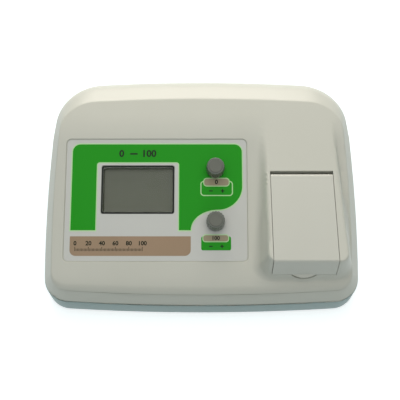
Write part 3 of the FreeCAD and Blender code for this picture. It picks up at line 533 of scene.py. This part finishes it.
opening_left = lid_left - lid_gap
opening_right = lid_right + lid_gap
opening_rear = lid_rear + lid_slot
step_front = lid_front(step_top) + wall + lid_gap
step_back = step_front + wall
liner_inset = 0.3
liner_top = case_height - wall / 2
liner = upright([(opening_rear + wall, flange_top), (opening_rear + wall, liner_top),
                 (lid_front(liner_top) + liner_inset, liner_top),
                 (lid_front(shelf_bottom) + liner_inset, shelf_bottom), (step_back, shelf_bottom),
                 (step_back, flange_top)], opening_left - wall, opening_right + wall)
seat = prism_mesh(inset_box(window_box, -wall, window_radius + wall), window_floor - seat_depth,
                  -wall / 2)
cavity = upright([(opening_rear, flange_top - overrun), (opening_rear, case_height + overrun),
                  (-case_half_depth, case_height + overrun), (-case_half_depth, shelf_top),
                  (step_front, shelf_top), (step_front, step_top), (step_back, step_top),
                  (step_back, flange_top - overrun)], opening_left, opening_right)
scoop_radius = (scoop_half_width ** 2 + scoop_drop ** 2) / (2 * scoop_drop)
scoop_x = (lid_left + lid_right) / 2
scoop_reach = math.asin(scoop_half_width / scoop_radius)
scoop_angles = np.linspace(-scoop_reach, scoop_reach, 25)
scoop_outline = np.column_stack([
    scoop_x + scoop_radius * np.sin(scoop_angles),
    skirt_bottom - scoop_drop + scoop_radius * (1 - np.cos(scoop_angles))])
scoop_back = lid_front(skirt_bottom - scoop_drop / 2) + scoop_depth
scoop_points, scoop_faces = prism_mesh(scoop_outline, -scoop_back, case_half_depth + overrun)
scoop_points = scoop_points[:, [0, 2, 1]] * np.array([1, -1, 1])
cup_bottom = skirt_bottom - scoop_drop - wall
scoop_cup = upright([(scoop_back + wall, cup_bottom), (scoop_back + wall, shelf_bottom + liner_inset),
                     (lid_front(shelf_bottom) + liner_inset, shelf_bottom + liner_inset),
                     (lid_front(cup_bottom) + liner_inset, cup_bottom)],
                    scoop_x - scoop_half_width - wall, scoop_x + scoop_half_width + wall)
spread = recess_taper * (overrun + recess_depth) / recess_depth
recess = prism_mesh(inset_box(recess_box, 0, recess_radius), -recess_depth, overrun,
                    inset_box(recess_box, -spread, recess_radius + spread))
window_hole = prism_mesh(inset_box(window_box, 0, window_radius), window_floor, 0)
ledge_hole = prism_mesh(inset_box(window_box, window_ledge, window_radius), window_floor - 2 * overrun,
                        window_floor + wall / 2)
shaft_holes = [prism_mesh(circle(knob_x, place, shaft_hole_radius), -2 * overrun, -wall / 4)
               for place in (zero_knob_place, span_knob_place)]
block = prism_mesh(block_outline(cup_bottom, liner_inset), cup_bottom, case_height,
                   block_outline(case_height, liner_inset))
chamber_walls = carved(new_piece("liner", *liner), [("INTERSECT", new_piece("block", *block))])
carved(top_cover, [
    ("UNION", chamber_walls),
    ("UNION", new_piece("scoop_cup", *scoop_cup)),
    ("UNION", panel_piece("seat", seat)),
    ("DIFFERENCE", new_piece("cavity", *cavity)),
    ("DIFFERENCE", new_piece("scoop", scoop_points, scoop_faces)),
    ("DIFFERENCE", panel_piece("recess", recess)),
    ("DIFFERENCE", panel_piece("window_hole", window_hole)),
    ("DIFFERENCE", panel_piece("ledge_hole", ledge_hole)),
    *[("DIFFERENCE", panel_piece("shaft_hole", hole)) for hole in shaft_holes]], cover_sharp)


# Base tray
# The lower half of the case: a deep moulded tray with posts for the boards, in a cool grey ABS
# that shows as a band under the cover. Its colour also carries painted shade: it is darker and bluer
# than the cover's, standing in for the shade and cool light on its low walls. Four screws through the
# rubber feet pull the halves together.
def softened(node, material, width, segments=2):
    """Copy of a CAD node as moulding or machining leaves it: its doubled points merged, its flat
    faces joined, and a small round along each edge that turns by more than an angle."""
    source = frame["nodes"][node]
    shape = bmesh.new()
    shape.from_mesh(source.data)
    bmesh.ops.remove_doubles(shape, verts=shape.verts, dist=merge_distance)
    bmesh.ops.dissolve_limit(shape, angle_limit=flat_angle, verts=shape.verts, edges=shape.edges)
    mesh = bpy.data.meshes.new(node + "_finished")
    shape.to_mesh(mesh)
    shape.free()
    shade(mesh, edge_angle)
    mesh.materials.append(material)
    piece = add_object(mesh.name, mesh)
    given(piece.modifiers.new("round_edge", "BEVEL"), width=width * millimetre, segments=segments,
          limit_method="ANGLE", angle_limit=edge_angle, harden_normals=True)
    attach(piece, source["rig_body"])
    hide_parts(node)


def dress(material, *nodes):
    """Gives CAD nodes whose shape is right their material."""
    for node in nodes:
        for place in frame["nodes"][node].material_slots:
            place.link = "OBJECT"
            place.material = material


merge_distance = 1e-6
flat_angle = math.radians(0.4)
edge_angle = math.radians(30.0)
# Cool grey ABS of the tray, partly its own colour and partly painted shade: darker and bluer than the
# cover, for the shade and cool light on its low walls
tray_abs_and_painted_shade = moulded("moulded_abs_cool_grey_and_painted_shade", "#94a8a6", "#8ea3a1", 0.42)
softened("base_tray", tray_abs_and_painted_shade, 0.4)
# Moulded rubber: black, dull and a little dusty
foot_rubber = moulded("moulded_rubber_black", "#232322", "#2b2a29", 0.75, grain=0.5)
softened("case_feet", foot_rubber, 0.8, 3)


def drawn_metal(name, colour, other, roughness, grain, depth=0.004, blotch=12.0):
    """Metal with fine lines: noise stretched along one axis, as brushing, drawing or stacking leaves
    it. The grain gives the length of a line along each axis."""
    material, shader, place = new_material(name)
    along = add_node(material, "Mapping",
                     {"Scale": [1 / (length * millimetre) for length in grain]}, {"Vector": place})
    lines = add_node(material, "TexNoise", {"Scale": 1.0, "Detail": 3.0}, {"Vector": along})
    wide = add_node(material, "TexNoise",
                    {"Scale": 1 / (blotch * millimetre), "Detail": 2.0}, {"Vector": place})
    share = add_node(material, "Math", {"operation": "MULTIPLY_ADD", 1: 0.5},
                     {0: lines, 2: wide})
    surface(material, shader, (colour, other), share, lines, (roughness - 0.07, roughness + 0.08),
            strength=0.5, depth=depth)
    set_node(material, shader, {"Metallic": 1.0})
    return material


# Zinc plate on steel: pale, faintly blue and yellow in patches
zinc_steel = drawn_metal("zinc_plated_steel", "#b9bcbc", "#c2beb0", 0.34, (0.6, 0.6, 0.6))
softened("case_screws", zinc_steel, 0.2)


# Panel overlay
# One polycarbonate film, stuck down in the panel's recess and printed in green, brown and pale green,
# with holes for the window and the two shafts. Its velvet side faces out.
film_top = -recess_depth + 0.4
ink_thickness = 0.025
dress(moulded("velvet_polycarbonate_film", "#c9c9c3", "#c6c6c1", 0.46, grain=0.4, depth=0.006,
      ior=1.58), "panel_overlay")


def grown(outline, margin):
    """Outline moved outwards by a margin: each point goes along the sum of its two edges' normals,
    over one plus their product, so that both edges move by the margin."""
    edge = np.roll(outline, -1, 0) - outline
    edge /= np.linalg.norm(edge, axis=1)[:, None]
    normal = np.column_stack([edge[:, 1], -edge[:, 0]])
    last = np.roll(normal, 1, 0)
    return outline + margin * (normal + last) / (1 + (normal * last).sum(1))[:, None]


def on_film(points):
    """Points drawn flat, laid on the panel: across, up from the lower edge of the recess, and proud
    of the panel."""
    return on_panel(points + np.array([0, recess_bottom, 0]))


def printed(name, outlines, layer, material, holes=()):
    """Closed shapes of ink in one of the film's layers of print, with holes cut for the shafts."""
    low = film_top + layer * ink_thickness
    points, faces = merged([prism_mesh(outline, low, low + ink_thickness) for outline in outlines])
    ink = new_piece(name, on_film(points), faces, "case", "panel_film", material)
    cuts = [prism_mesh(circle(knob_x, place, ink_hole_radius), film_top - overrun, film_top + overrun)
            for place in holes]
    if cuts:
        carved(ink, [("DIFFERENCE", panel_piece("ink_hole", hole)) for hole in cuts])


def screen_ink(name, colour, other):
    """Screen-printed ink: flat colour with a slight unevenness, duller than the film."""
    material = moulded(name, colour, other, 0.5, grain=0.3, depth=0.004, ior=1.5, blotch=30.0)
    set_node(material, material.node_tree.nodes["Principled BSDF"], {"Specular IOR Level": 0.15})
    return material


ink_hole_radius = 5.2
outline_width = 0.9
green_left, green_right, green_top, green_bottom, green_radius = -111.3, 35.0, 101.9, 26.5, 6.5
arch_left, arch_right, arch_top, arch_radius = -90.2, -19.1, 85.9, 2.5
wave_start, wave_middle_x, wave_middle, wave_top = -9.1, 14.1, 44.2, 65.0
quarter = np.linspace(0, math.pi / 2, 25)
wave = np.vstack([
    np.column_stack([wave_middle_x - (wave_middle_x - wave_start) * np.cos(quarter),
                     green_bottom + (wave_middle - green_bottom) * np.sin(quarter)]),
    np.column_stack([wave_middle_x + (green_right - wave_middle_x) * np.sin(quarter),
                     wave_top - (wave_top - wave_middle) * np.cos(quarter)])[1:]])
frame_corners = corner_rounds([
    (arch_left, green_bottom, 0), (arch_left, arch_top, arch_radius),
    (arch_right, arch_top, arch_radius), (arch_right, green_bottom, 0)])
head_corners = corner_rounds([
    (green_right, green_top, green_radius), (green_left, green_top, green_radius),
    (green_left, green_bottom, 0), (green_right, green_bottom, 0)])[:-2]
# The green runs round the window's arch, up a wave between the knobs and back over the top. The
# head's two lower corners only turn its upper ones the right way, and are left out.
green_shape = np.vstack([[(green_left, green_bottom)], frame_corners, wave, head_corners])
# Inks: a full green, the pale green line round it, a warm brown and a soft black
green_ink = screen_ink("green_screen_ink", "#1e9812", "#1f961c")
pale_ink = screen_ink("pale_green_screen_ink", "#bfe6ac", "#b9e2a7")
brown_ink = screen_ink("brown_screen_ink", "#a08a70", "#ab9078")
khaki_ink = screen_ink("khaki_screen_ink", "#a59a80", "#9f947c")
black_ink = screen_ink("black_screen_ink", "#141c12", "#182015")
# A label and a pill at each knob, the upper one first, and the brown strip under the display
label_outlines = [round_box(-0.4, 26.6, 56.6, 69.0, 2.6), round_box(-0.2, 25.1, 9.3, 21.2, 1.6)]
pill_outlines = [round_box(2.1, 23.8, 64.9, 71.7, 2.6), round_box(1.3, 23.0, 16.7, 22.5, 2.2)]
strip_left, strip_right, strip_bottom, strip_top, strip_radius = -111.5, -9.0, 4.6, 21.3, 5.0
strip_outline = corner_rounds([
    (strip_left, strip_bottom, strip_radius), (strip_right, strip_bottom, strip_radius),
    (strip_right, strip_top, 0), (strip_left, strip_top, 0)])
printed("print_pale_line", [grown(green_shape, outline_width)], 0, pale_ink, [zero_knob_place])
printed("print_green", [green_shape], 1, green_ink, [zero_knob_place])
printed("print_brown", [strip_outline], 0, brown_ink)
printed("print_label_lines", [grown(label_outlines[0], outline_width / 2)], 2, pale_ink)
printed("print_label_boxes", [grown(label_outlines[0], -outline_width / 2), label_outlines[1]], 3,
        green_ink)
printed("print_pill_lines", [grown(pill, outline_width / 2) for pill in pill_outlines], 4, pale_ink)
printed("print_pills", [grown(pill, -outline_width / 3) for pill in pill_outlines], 5, khaki_ink)


def figures(text, x, up, height, layer):
    """Plain figures as closed flat shapes, from the built-in font, centred at a place on the panel."""
    curve = given(bpy.data.curves.new("figures", "FONT"), body=text, size=height / figure_share,
                  align_x="CENTER", align_y="CENTER", extrude=ink_thickness / 2,
                  offset=height * bold_share, resolution_u=3)
    holder = add_object("figures", curve)
    bpy.context.view_layer.update()
    flat = bpy.data.meshes.new_from_object(holder)
    shape = bmesh.new()
    shape.from_mesh(flat)
    bmesh.ops.remove_doubles(shape, verts=shape.verts, dist=ink_thickness / 10)
    points = np.array([vertex.co[:] for vertex in shape.verts])
    faces = [[vertex.index for vertex in face.verts] for face in shape.faces]
    shape.free()
    bpy.data.objects.remove(holder)
    return points + np.array([x, up, film_top + (layer + 0.5) * ink_thickness]), faces


def dash(x, up, width, height, layer):
    """Flat bar centred at a place on the panel."""
    low = film_top + layer * ink_thickness
    return prism_mesh(round_box(x - width / 2, x + width / 2, up - height / 2, up + height / 2, 0.1, 3),
                      low, low + ink_thickness)


# Plain figures: the range over the display, a tick scale in the strip, and the set points and signs
# at the knobs
figure_share = 0.73
bold_share = 0.045
scale_left, scale_right, scale_bottom = -107.0, -50.0, 8.7
tick_width = 0.45
tick_lengths = [3.6] + [2.2] * 9
figure_rise, figure_height = 6.5, 3.7
range_up, range_height = 93.4, 6.2
sign_width = 0.9
ticks = [dash(x, scale_bottom + tick_lengths[index % 10] / 2, tick_width, tick_lengths[index % 10], 1)
         for index, x in enumerate(np.linspace(scale_left, scale_right, 51))]
scale_figures = [figures(str(index * 20), x, scale_bottom + figure_rise, figure_height, 1)
                 for index, x in enumerate(np.linspace(scale_left, scale_right, 6))]
signs = [dash(x, up, width, height, 4)
         for minus, plus, up, length in ((8.2, 18.2, 60.6, 3.2), (8.0, 17.4, 12.7, 3.0))
         for x, width, height in ((minus, length, sign_width), (plus, length, sign_width),
                                  (plus, sign_width, length))]
marks = merged(ticks + scale_figures + [
    figures("0", -69.0, range_up, range_height, 2), dash(-58.4, range_up, 6.5, 1.4, 2),
    figures("100", -45.4, range_up, range_height, 2),
    figures("0", 12.9, 68.3, 3.8, 6), figures("100", 12.1, 19.6, 3.4, 6)] + signs)
new_piece("print_figures", on_film(marks[0]), marks[1], "case", "panel_film", black_ink)


# Display
# A clear acrylic window with a black border printed round its edge, let into the film, and the olive
# liquid crystal cell behind it in a black frame, on its own small board.
def ring_mesh(outer, inner, low, high):
    """Closed flat ring between two outlines of equally many points."""
    points = at_heights((outer, low), (outer, high), (inner, high), (inner, low))
    place = np.arange(len(points)).reshape(4, -1)[[0, 1, 2, 3, 0]]
    return points, quads(place, np.roll(place, -1, 1))


def glassy(name, colour, ior, roughness, clearness="Transmission Weight", amount=1.0):
    """Clear glass, plastic or epoxy of one colour, with the input and value that let light through."""
    material, shader, _ = new_material(name)
    set_node(material, shader, {"Base Color": linear(colour), "Roughness": roughness, "IOR": ior,
                                clearness: amount})
    return material


# Clear acrylic with a faint dark tint, thin enough to need no bending of the light
window_clear = glassy("clear_acrylic", "#2a2d2a", 1.49, 0.06, "Alpha", 0.12)
softened("display_window", window_clear, 0.25)
border_start, border_end, border_radius = 0.3, 1.6, 1.2
border = ring_mesh(inset_box(window_box, border_start, window_radius),
                   inset_box(window_box, border_end, border_radius),
                   -recess_depth, -recess_depth + ink_thickness)
border_ink = screen_ink("black_border_ink", "#1d211e", "#212521")
panel_piece("window_border", border, "case", "window_clear", border_ink)

# Liquid crystal cell: olive polariser under glass
dress(moulded("olive_polariser", "#646953", "#60654f", 0.25, grain=0.3, depth=0.001, blotch=60.0),
      "lcd_glass")
# ABS of the inner and rear mouldings: black, with a satin sheen
black_abs = moulded("moulded_abs_black", "#1b1b1b", "#202020", 0.42)
softened("lcd_frame", black_abs, 0.2)

# Conductive rubber strip: carbon layers between clear ones, drawn at ten times their pitch so that
# they show
contact_rubber, rubber_shader, rubber_place = new_material("layered_contact_rubber")
layers = add_node(contact_rubber, "TexWave", {"Scale": 1 / millimetre, "Distortion": 0.3},
                  {"Vector": rubber_place})
layer_tone = add_node(contact_rubber, "Mix",
                      {"data_type": "RGBA", 6: linear("#26262a"), 7: linear("#9a9aa0")},
                      {0: layers})
set_node(contact_rubber, rubber_shader, {"Roughness": 0.6}, {"Base Color": layer_tone.outputs[2]})
dress(contact_rubber, "lcd_contact_strips")

# Solder mask over copper tracks on a tenth-inch grid: the tracks show paler
circuit_board, board_shader, board_place = new_material("green_solder_mask")
tracks = add_node(circuit_board, "TexBrick",
                  {"Color1": linear("#12502a"), "Color2": linear("#14562d"),
                   "Mortar": linear("#2f8a4c"), "Scale": 1 / millimetre, "Brick Width": 7.62,
                   "Row Height": 2.54, "Mortar Size": 0.25, "Mortar Smooth": 0.2},
                  {"Vector": board_place})
board_bump = add_node(circuit_board, "Bump", {"Strength": 0.5, "Distance": 0.03 * millimetre},
                      {"Height": tracks.outputs["Fac"]})
set_node(circuit_board, board_shader, {"Roughness": 0.3},
         {"Base Color": tracks.outputs["Color"], "Normal": board_bump})
dress(circuit_board, "display_board", "detector_board", "main_board")
dress(zinc_steel, "display_screws", "board_screws", "block_screws", "detector_screws")


# Control knobs
# Two fluted knobs of grey nylon with a turned cap set in the top, pushed on the shafts of two
# potentiometers that stand behind the panel.
def turned_mesh(profile, steps, flutes=0):
    """Closed surface turned round the upright axis. Each row of the profile gives a radius, a height
    and a flute depth. The radius falls by the depth times a narrow power of a cosine that runs round
    with the flutes, and the poles are closed with fans."""
    profile = np.asarray(profile, float)
    angles = np.arange(steps) * 2 * math.pi / steps
    hollow = ((1 + np.cos(flutes * angles)) / 2) ** 4 if flutes else np.zeros(steps)
    inner = profile[1:-1]
    radius = inner[:, :1] - inner[:, 2:3] * hollow
    rings = np.stack([radius * np.cos(angles), radius * np.sin(angles),
                      np.repeat(inner[:, 1:2], steps, 1)], 2).reshape(-1, 3)
    points = np.vstack([rings, [[0, 0, profile[0, 1]], [0, 0, profile[-1, 1]]]])
    place = np.arange(len(rings)).reshape(-1, steps)
    after = np.roll(place, -1, 1)
    faces = quads(place, after).tolist()
    low, high = len(rings), len(rings) + 1
    faces += np.stack([after[0], place[0], np.full(steps, low)], 1).tolist()
    faces += np.stack([place[-1], after[-1], np.full(steps, high)], 1).tolist()
    return points, faces


knob_radius = 8.0
knob_bottom = 0.6
knob_top = 13.1
cap_radius = 5.9
cap_top = knob_top + 0.5
cap_seat = cap_top - 1.2
shaft_radius = 3.0
shaft_grip = 8.0
flute_depth = 0.55
# Both profiles run from the axis below to the axis above: down the shaft's hole, up the fluted side
# and down into the cap's seat, and up the cap's side and over its faintly dished top
knob_profile = [
    (0, knob_bottom + shaft_grip, 0), (shaft_radius, knob_bottom + shaft_grip, 0),
    (shaft_radius, knob_bottom, 0), (knob_radius - 0.7, knob_bottom, 0.1),
    (knob_radius - 0.15, knob_bottom + 0.15, 0.4), (knob_radius, knob_bottom + 0.6, flute_depth),
    (knob_radius - 0.1, knob_bottom + 4.5, flute_depth),
    (knob_radius - 0.25, knob_bottom + 8.5, flute_depth),
    (knob_radius - 0.4, knob_top - 1.2, flute_depth), (knob_radius - 0.55, knob_top - 0.55, 0.45),
    (knob_radius - 0.85, knob_top - 0.15, 0.25), (knob_radius - 1.2, knob_top, 0.05),
    (cap_radius + 0.12, knob_top, 0), (cap_radius + 0.05, knob_top - 0.08, 0),
    (cap_radius + 0.02, cap_seat, 0), (0, cap_seat, 0)]
cap_profile = [
    (0, cap_seat, 0), (cap_radius, cap_seat, 0), (cap_radius, knob_top + 0.22, 0),
    (cap_radius - 0.12, knob_top + 0.42, 0), (cap_radius - 0.4, cap_top, 0),
    (cap_radius - 0.9, knob_top + 0.44, 0), (cap_radius - 2.6, knob_top + 0.38, 0),
    (1.2, knob_top + 0.34, 0), (0, knob_top + 0.33, 0)]
knob_grey = moulded("moulded_nylon_grey", "#565b52", "#5f645a", 0.28, grain=0.5, depth=0.006)
# Satin lacquer of the cap, with a little metal in the paint
cap_grey = moulded("satin_lacquered_cap", "#53554b", "#4d4f46", 0.36, grain=0.35, depth=0.01, blotch=4.0)
set_node(cap_grey, cap_grey.node_tree.nodes["Principled BSDF"], {"Metallic": 0.2})
for control, knob_place in (("zero", zero_knob_place), ("span", span_knob_place)):
    for part, profile, steps, flutes, slot, material in (
            ("knob", knob_profile, 144, 18, "knob_grey", knob_grey),
            ("knob_cap", cap_profile, 72, 0, "cap_grey", cap_grey)):
        points, faces = turned_mesh(profile, steps, flutes)
        shape = points + np.array([knob_x, knob_place, 0]), faces
        piece = panel_piece(f"{control}_{part}_turned", shape, f"{control}_control", slot, material,
                            math.radians(35))
        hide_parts(f"{control}_{part}")
dress(zinc_steel, "zero_shaft", "span_shaft", "lid_hinge_pin")
# Moulded phenolic of the potentiometers: deep blue, glossy
dress(moulded("moulded_phenolic_blue", "#1d3a6e", "#234178", 0.3), "zero_pot", "span_pot")


# Chamber lid
# A moulded lid with a leaning front skirt, level with the chamber block. It turns on a steel pin in
# the block's cheeks and closes on a strip of black foam that keeps daylight out.
# ABS of the lid: the cover's colour from another batch, a shade smoother
lid_abs = moulded("moulded_abs_lid", "#c9c8be", "#c6c5ba", 0.38)
softened("chamber_lid", lid_abs, 0.6, 3)
# A crescent lip for the fingertip runs out of the skirt's lower edge over the scoop. Each row of its
# section gives its place at both ends, and how far it runs out and drops at mid-width.
lip_half_width = 9.5
lip_reach = 2.3
lip_drop = 0.9
lip_thickness = 0.9
lid_foot = lid_front(skirt_bottom)
lip_section = np.array([
    (lid_foot + 0.5, skirt_bottom + 1.2, 0, 0),
    (lid_front(skirt_bottom + 0.8) + 0.05, skirt_bottom + 0.8, 0, 0),
    (lid_foot, skirt_bottom + 0.2, lip_reach, lip_drop),
    (lid_foot + 0.1, skirt_bottom + 0.1, lip_reach, lip_drop + lip_thickness),
    (lid_foot + 0.8, skirt_bottom + 0.1, 0, 0)])
lip_points = np.array([(scoop_x + lip_half_width * across, y - reach * (1 - across ** 2),
                        z - drop * (1 - across ** 2))
                       for across in np.linspace(-1, 1, 31) for y, z, reach, drop in lip_section])
lip_places = np.arange(len(lip_points)).reshape(-1, len(lip_section))
new_piece("lid_finger_lip", lip_points,
          [*quads(lip_places, np.roll(lip_places, -1, 1)), lip_places[0, ::-1], lip_places[-1]],
          "lid", "lid_abs", lid_abs)
# Cellular rubber: open black cells, no gloss
foam_black = moulded("cellular_rubber_black", "#1a1a1a", "#242424", 0.9, grain=0.8, depth=0.15)
softened("lid_seal", foam_black, 0.3)


# Sample chamber
# A black tray closes the chamber's floor, and the optical block under it holds the cell in its well,
# with the lamp, lens and filter on one side and the photodiode on the other.
softened("chamber_tray", black_abs, 0.3)
softened("optical_block", black_abs, 0.3)
softened("lamp_holder", black_abs, 0.2)
# Rolled spring steel, with upright lines
dress(drawn_metal("rolled_spring_steel", "#8f9090", "#a3a4a4", 0.28, (0.3, 0.3, 12.0)), "cell_spring")
# Filter glass green all through, a polished lens, and the epoxy of the lamp, slightly dull
dress(glassy("green_filter_glass", "#5fb98c", 1.52, 0.02), "colour_filter")
dress(glassy("polished_crown_glass", "#f4f8f6", 1.52, 0.0), "condenser_lens")
dress(glassy("cast_clear_epoxy", "#f3f1ea", 1.54, 0.08), "lamp")
# Gilt can of the photodiode
dress(drawn_metal("gilt_diode_can", "#c6b37a", "#b7a56e", 0.25, (0.4, 0.4, 6.0)), "photodiode")


# Circuit boards
# The main board stands on posts in the tray, with its chips, capacitors and the mains transformer.
# Epoxy of the chips: matt black, finely textured
dress(moulded("moulded_epoxy_black", "#202124", "#26272a", 0.5, grain=0.3), "board_chips")
# Vinyl sleeve shrunk over the capacitors: dark blue, smooth
dress(moulded("shrunk_vinyl_sleeve", "#16224a", "#1b2850", 0.3, grain=3.0), "board_capacitors")
# Stacked iron sheets, half a millimetre each, under varnish
dress(drawn_metal("varnished_iron_stack", "#3a3a3c", "#55504a", 0.5, (60.0, 0.5, 60.0), depth=0.05),
      "transformer_core")
# Yellow polyester tape round the windings
dress(moulded("polyester_tape_yellow", "#d3ab34", "#c9a02f", 0.35, grain=4.0), "transformer_windings")


# Rear panel
# A brushed aluminium plate in the tray's rear wall, with the mains inlet, the fuse holder and the
# rocker switch, all moulded in black.
panel_metal = drawn_metal("brushed_aluminium", "#b9bbbb", "#c4c6c6", 0.36, (25.0, 0.3, 0.3))
softened("rear_panel", panel_metal, 0.2)
softened("rear_panel_screws", zinc_steel, 0.15)
for node in ("power_inlet", "fuse_holder", "fuse_cap", "switch_frame"):
    softened(node, black_abs, 0.3)
softened("switch_rocker", black_abs, 0.4, 3)
# Nickel plate on the brass pins, drawn along their length
contact_metal = drawn_metal("nickel_plated_brass", "#c9c6bd", "#d2cfc6", 0.22, (0.5, 8.0, 0.5))
softened("inlet_pins", contact_metal, 0.25)


# Floor, light and camera
# A plain pale floor, a wide soft lamp low behind the case, one overhead and the bright room round them.
# The camera stands over the front edge and looks down, as the photographer did.
def seen_directly(owner):
    """One where the camera, a mirror or a clear part shows the surface itself, and zero for the light
    that it sends to other surfaces."""
    rays = add_node(owner, "LightPath").outputs
    seen = rays["Is Camera Ray"]
    for kind in ("Is Glossy Ray", "Is Transmission Ray"):
        seen = add_node(owner, "Math", {"operation": "MAXIMUM"}, {0: seen, 1: rays[kind]})
    return seen


floor_reach = 4000.0
floor_glow = 0.66
floor = new_piece("floor", [(x * floor_reach, y * floor_reach, 0)
                            for x, y in ((-1, -1), (1, -1), (1, 1), (-1, 1))], [(0, 1, 2, 3)])
# White paper that glows where it is seen, as an overexposed background does, but not on the case
floor_paper, paper_shader, _ = new_material("white_paper")
set_node(floor_paper, paper_shader, {"Base Color": linear("#cfdbdd"), "Roughness": 0.9})
paper_seen = seen_directly(floor_paper)
glow = add_node(floor_paper, "Emission", {"Color": (1, 1, 1, 1), "Strength": floor_glow})
both = add_node(floor_paper, "AddShader", {}, {0: paper_shader, 1: glow})
shown = add_node(floor_paper, "MixShader", {}, {0: paper_seen, 1: paper_shader, 2: both})
set_node(floor_paper, floor_paper.node_tree.nodes["Material Output"], {}, {"Surface": shown})
floor.data.materials.append(floor_paper)

world = bpy.data.worlds.new("bright_room")
world.use_nodes = True
bpy.context.scene.world = world
world_seen = seen_directly(world)
# The room is brighter in front than behind, and its walls at the sides are a little cooler
front_strength, rear_strength = 0.45, 0.27
left_wall, middle_wall, right_wall = (0.74, 0.93, 1, 1), (1, 1, 1, 1), (0.80, 0.96, 1, 1)
seen_room = (0.97, 1, 1.01, 1)
direction = add_node(world, "SeparateXYZ", {}, {0: add_node(world, "TexCoord").outputs["Generated"]})
forward = add_node(world, "MapRange",
                   {"From Min": -1.0, "To Min": front_strength, "To Max": rear_strength},
                   {"Value": direction.outputs["Y"]})
strength = add_node(world, "MapRange", {"To Max": 1.0}, {"Value": world_seen, "To Min": forward})
sideways = add_node(world, "MapRange", {"From Min": -1.0}, {"Value": direction.outputs["X"]})
walls = add_node(world, "ValToRGB", {}, {0: sideways})
walls.color_ramp.elements[0].color = left_wall
walls.color_ramp.elements[1].color = right_wall
walls.color_ramp.elements.new(0.5).color = middle_wall
room = add_node(world, "Mix", {"data_type": "RGBA", 7: seen_room}, {0: world_seen, 6: walls})
set_node(world, world.node_tree.nodes["Background"], {},
         {"Color": room.outputs[2], "Strength": strength})

lamp_aim = Vector((0, 0, 0.05))
for name, place, width, height, power, colour in (
        ("window_light", (-0.08, 1.35, 0.55), 1.0, 0.7, 14.4, "#fff8ee"),
        ("ceiling_light", (0.0, 0.15, 1.5), 1.6, 1.6, 9.1, "#fffdf6")):
    lamp = add_object(name, given(bpy.data.lights.new(name, "AREA"), shape="RECTANGLE", size=width,
                                  size_y=height, energy=power, color=linear(colour)[:3]))
    lamp.location = place
    lamp.rotation_euler = (lamp_aim - lamp.location).to_track_quat("-Z", "Y").to_euler()

camera = add_object("camera", given(bpy.data.cameras.new("camera"), sensor_width=36.0, lens=67.5))
camera.location = Vector((-1.21, -278.05, 645.16)) * millimetre
camera.rotation_euler = Euler((math.radians(23.906), 0, 0))
bpy.context.scene.camera = camera
bpy.context.scene.view_settings.view_transform = "Standard"
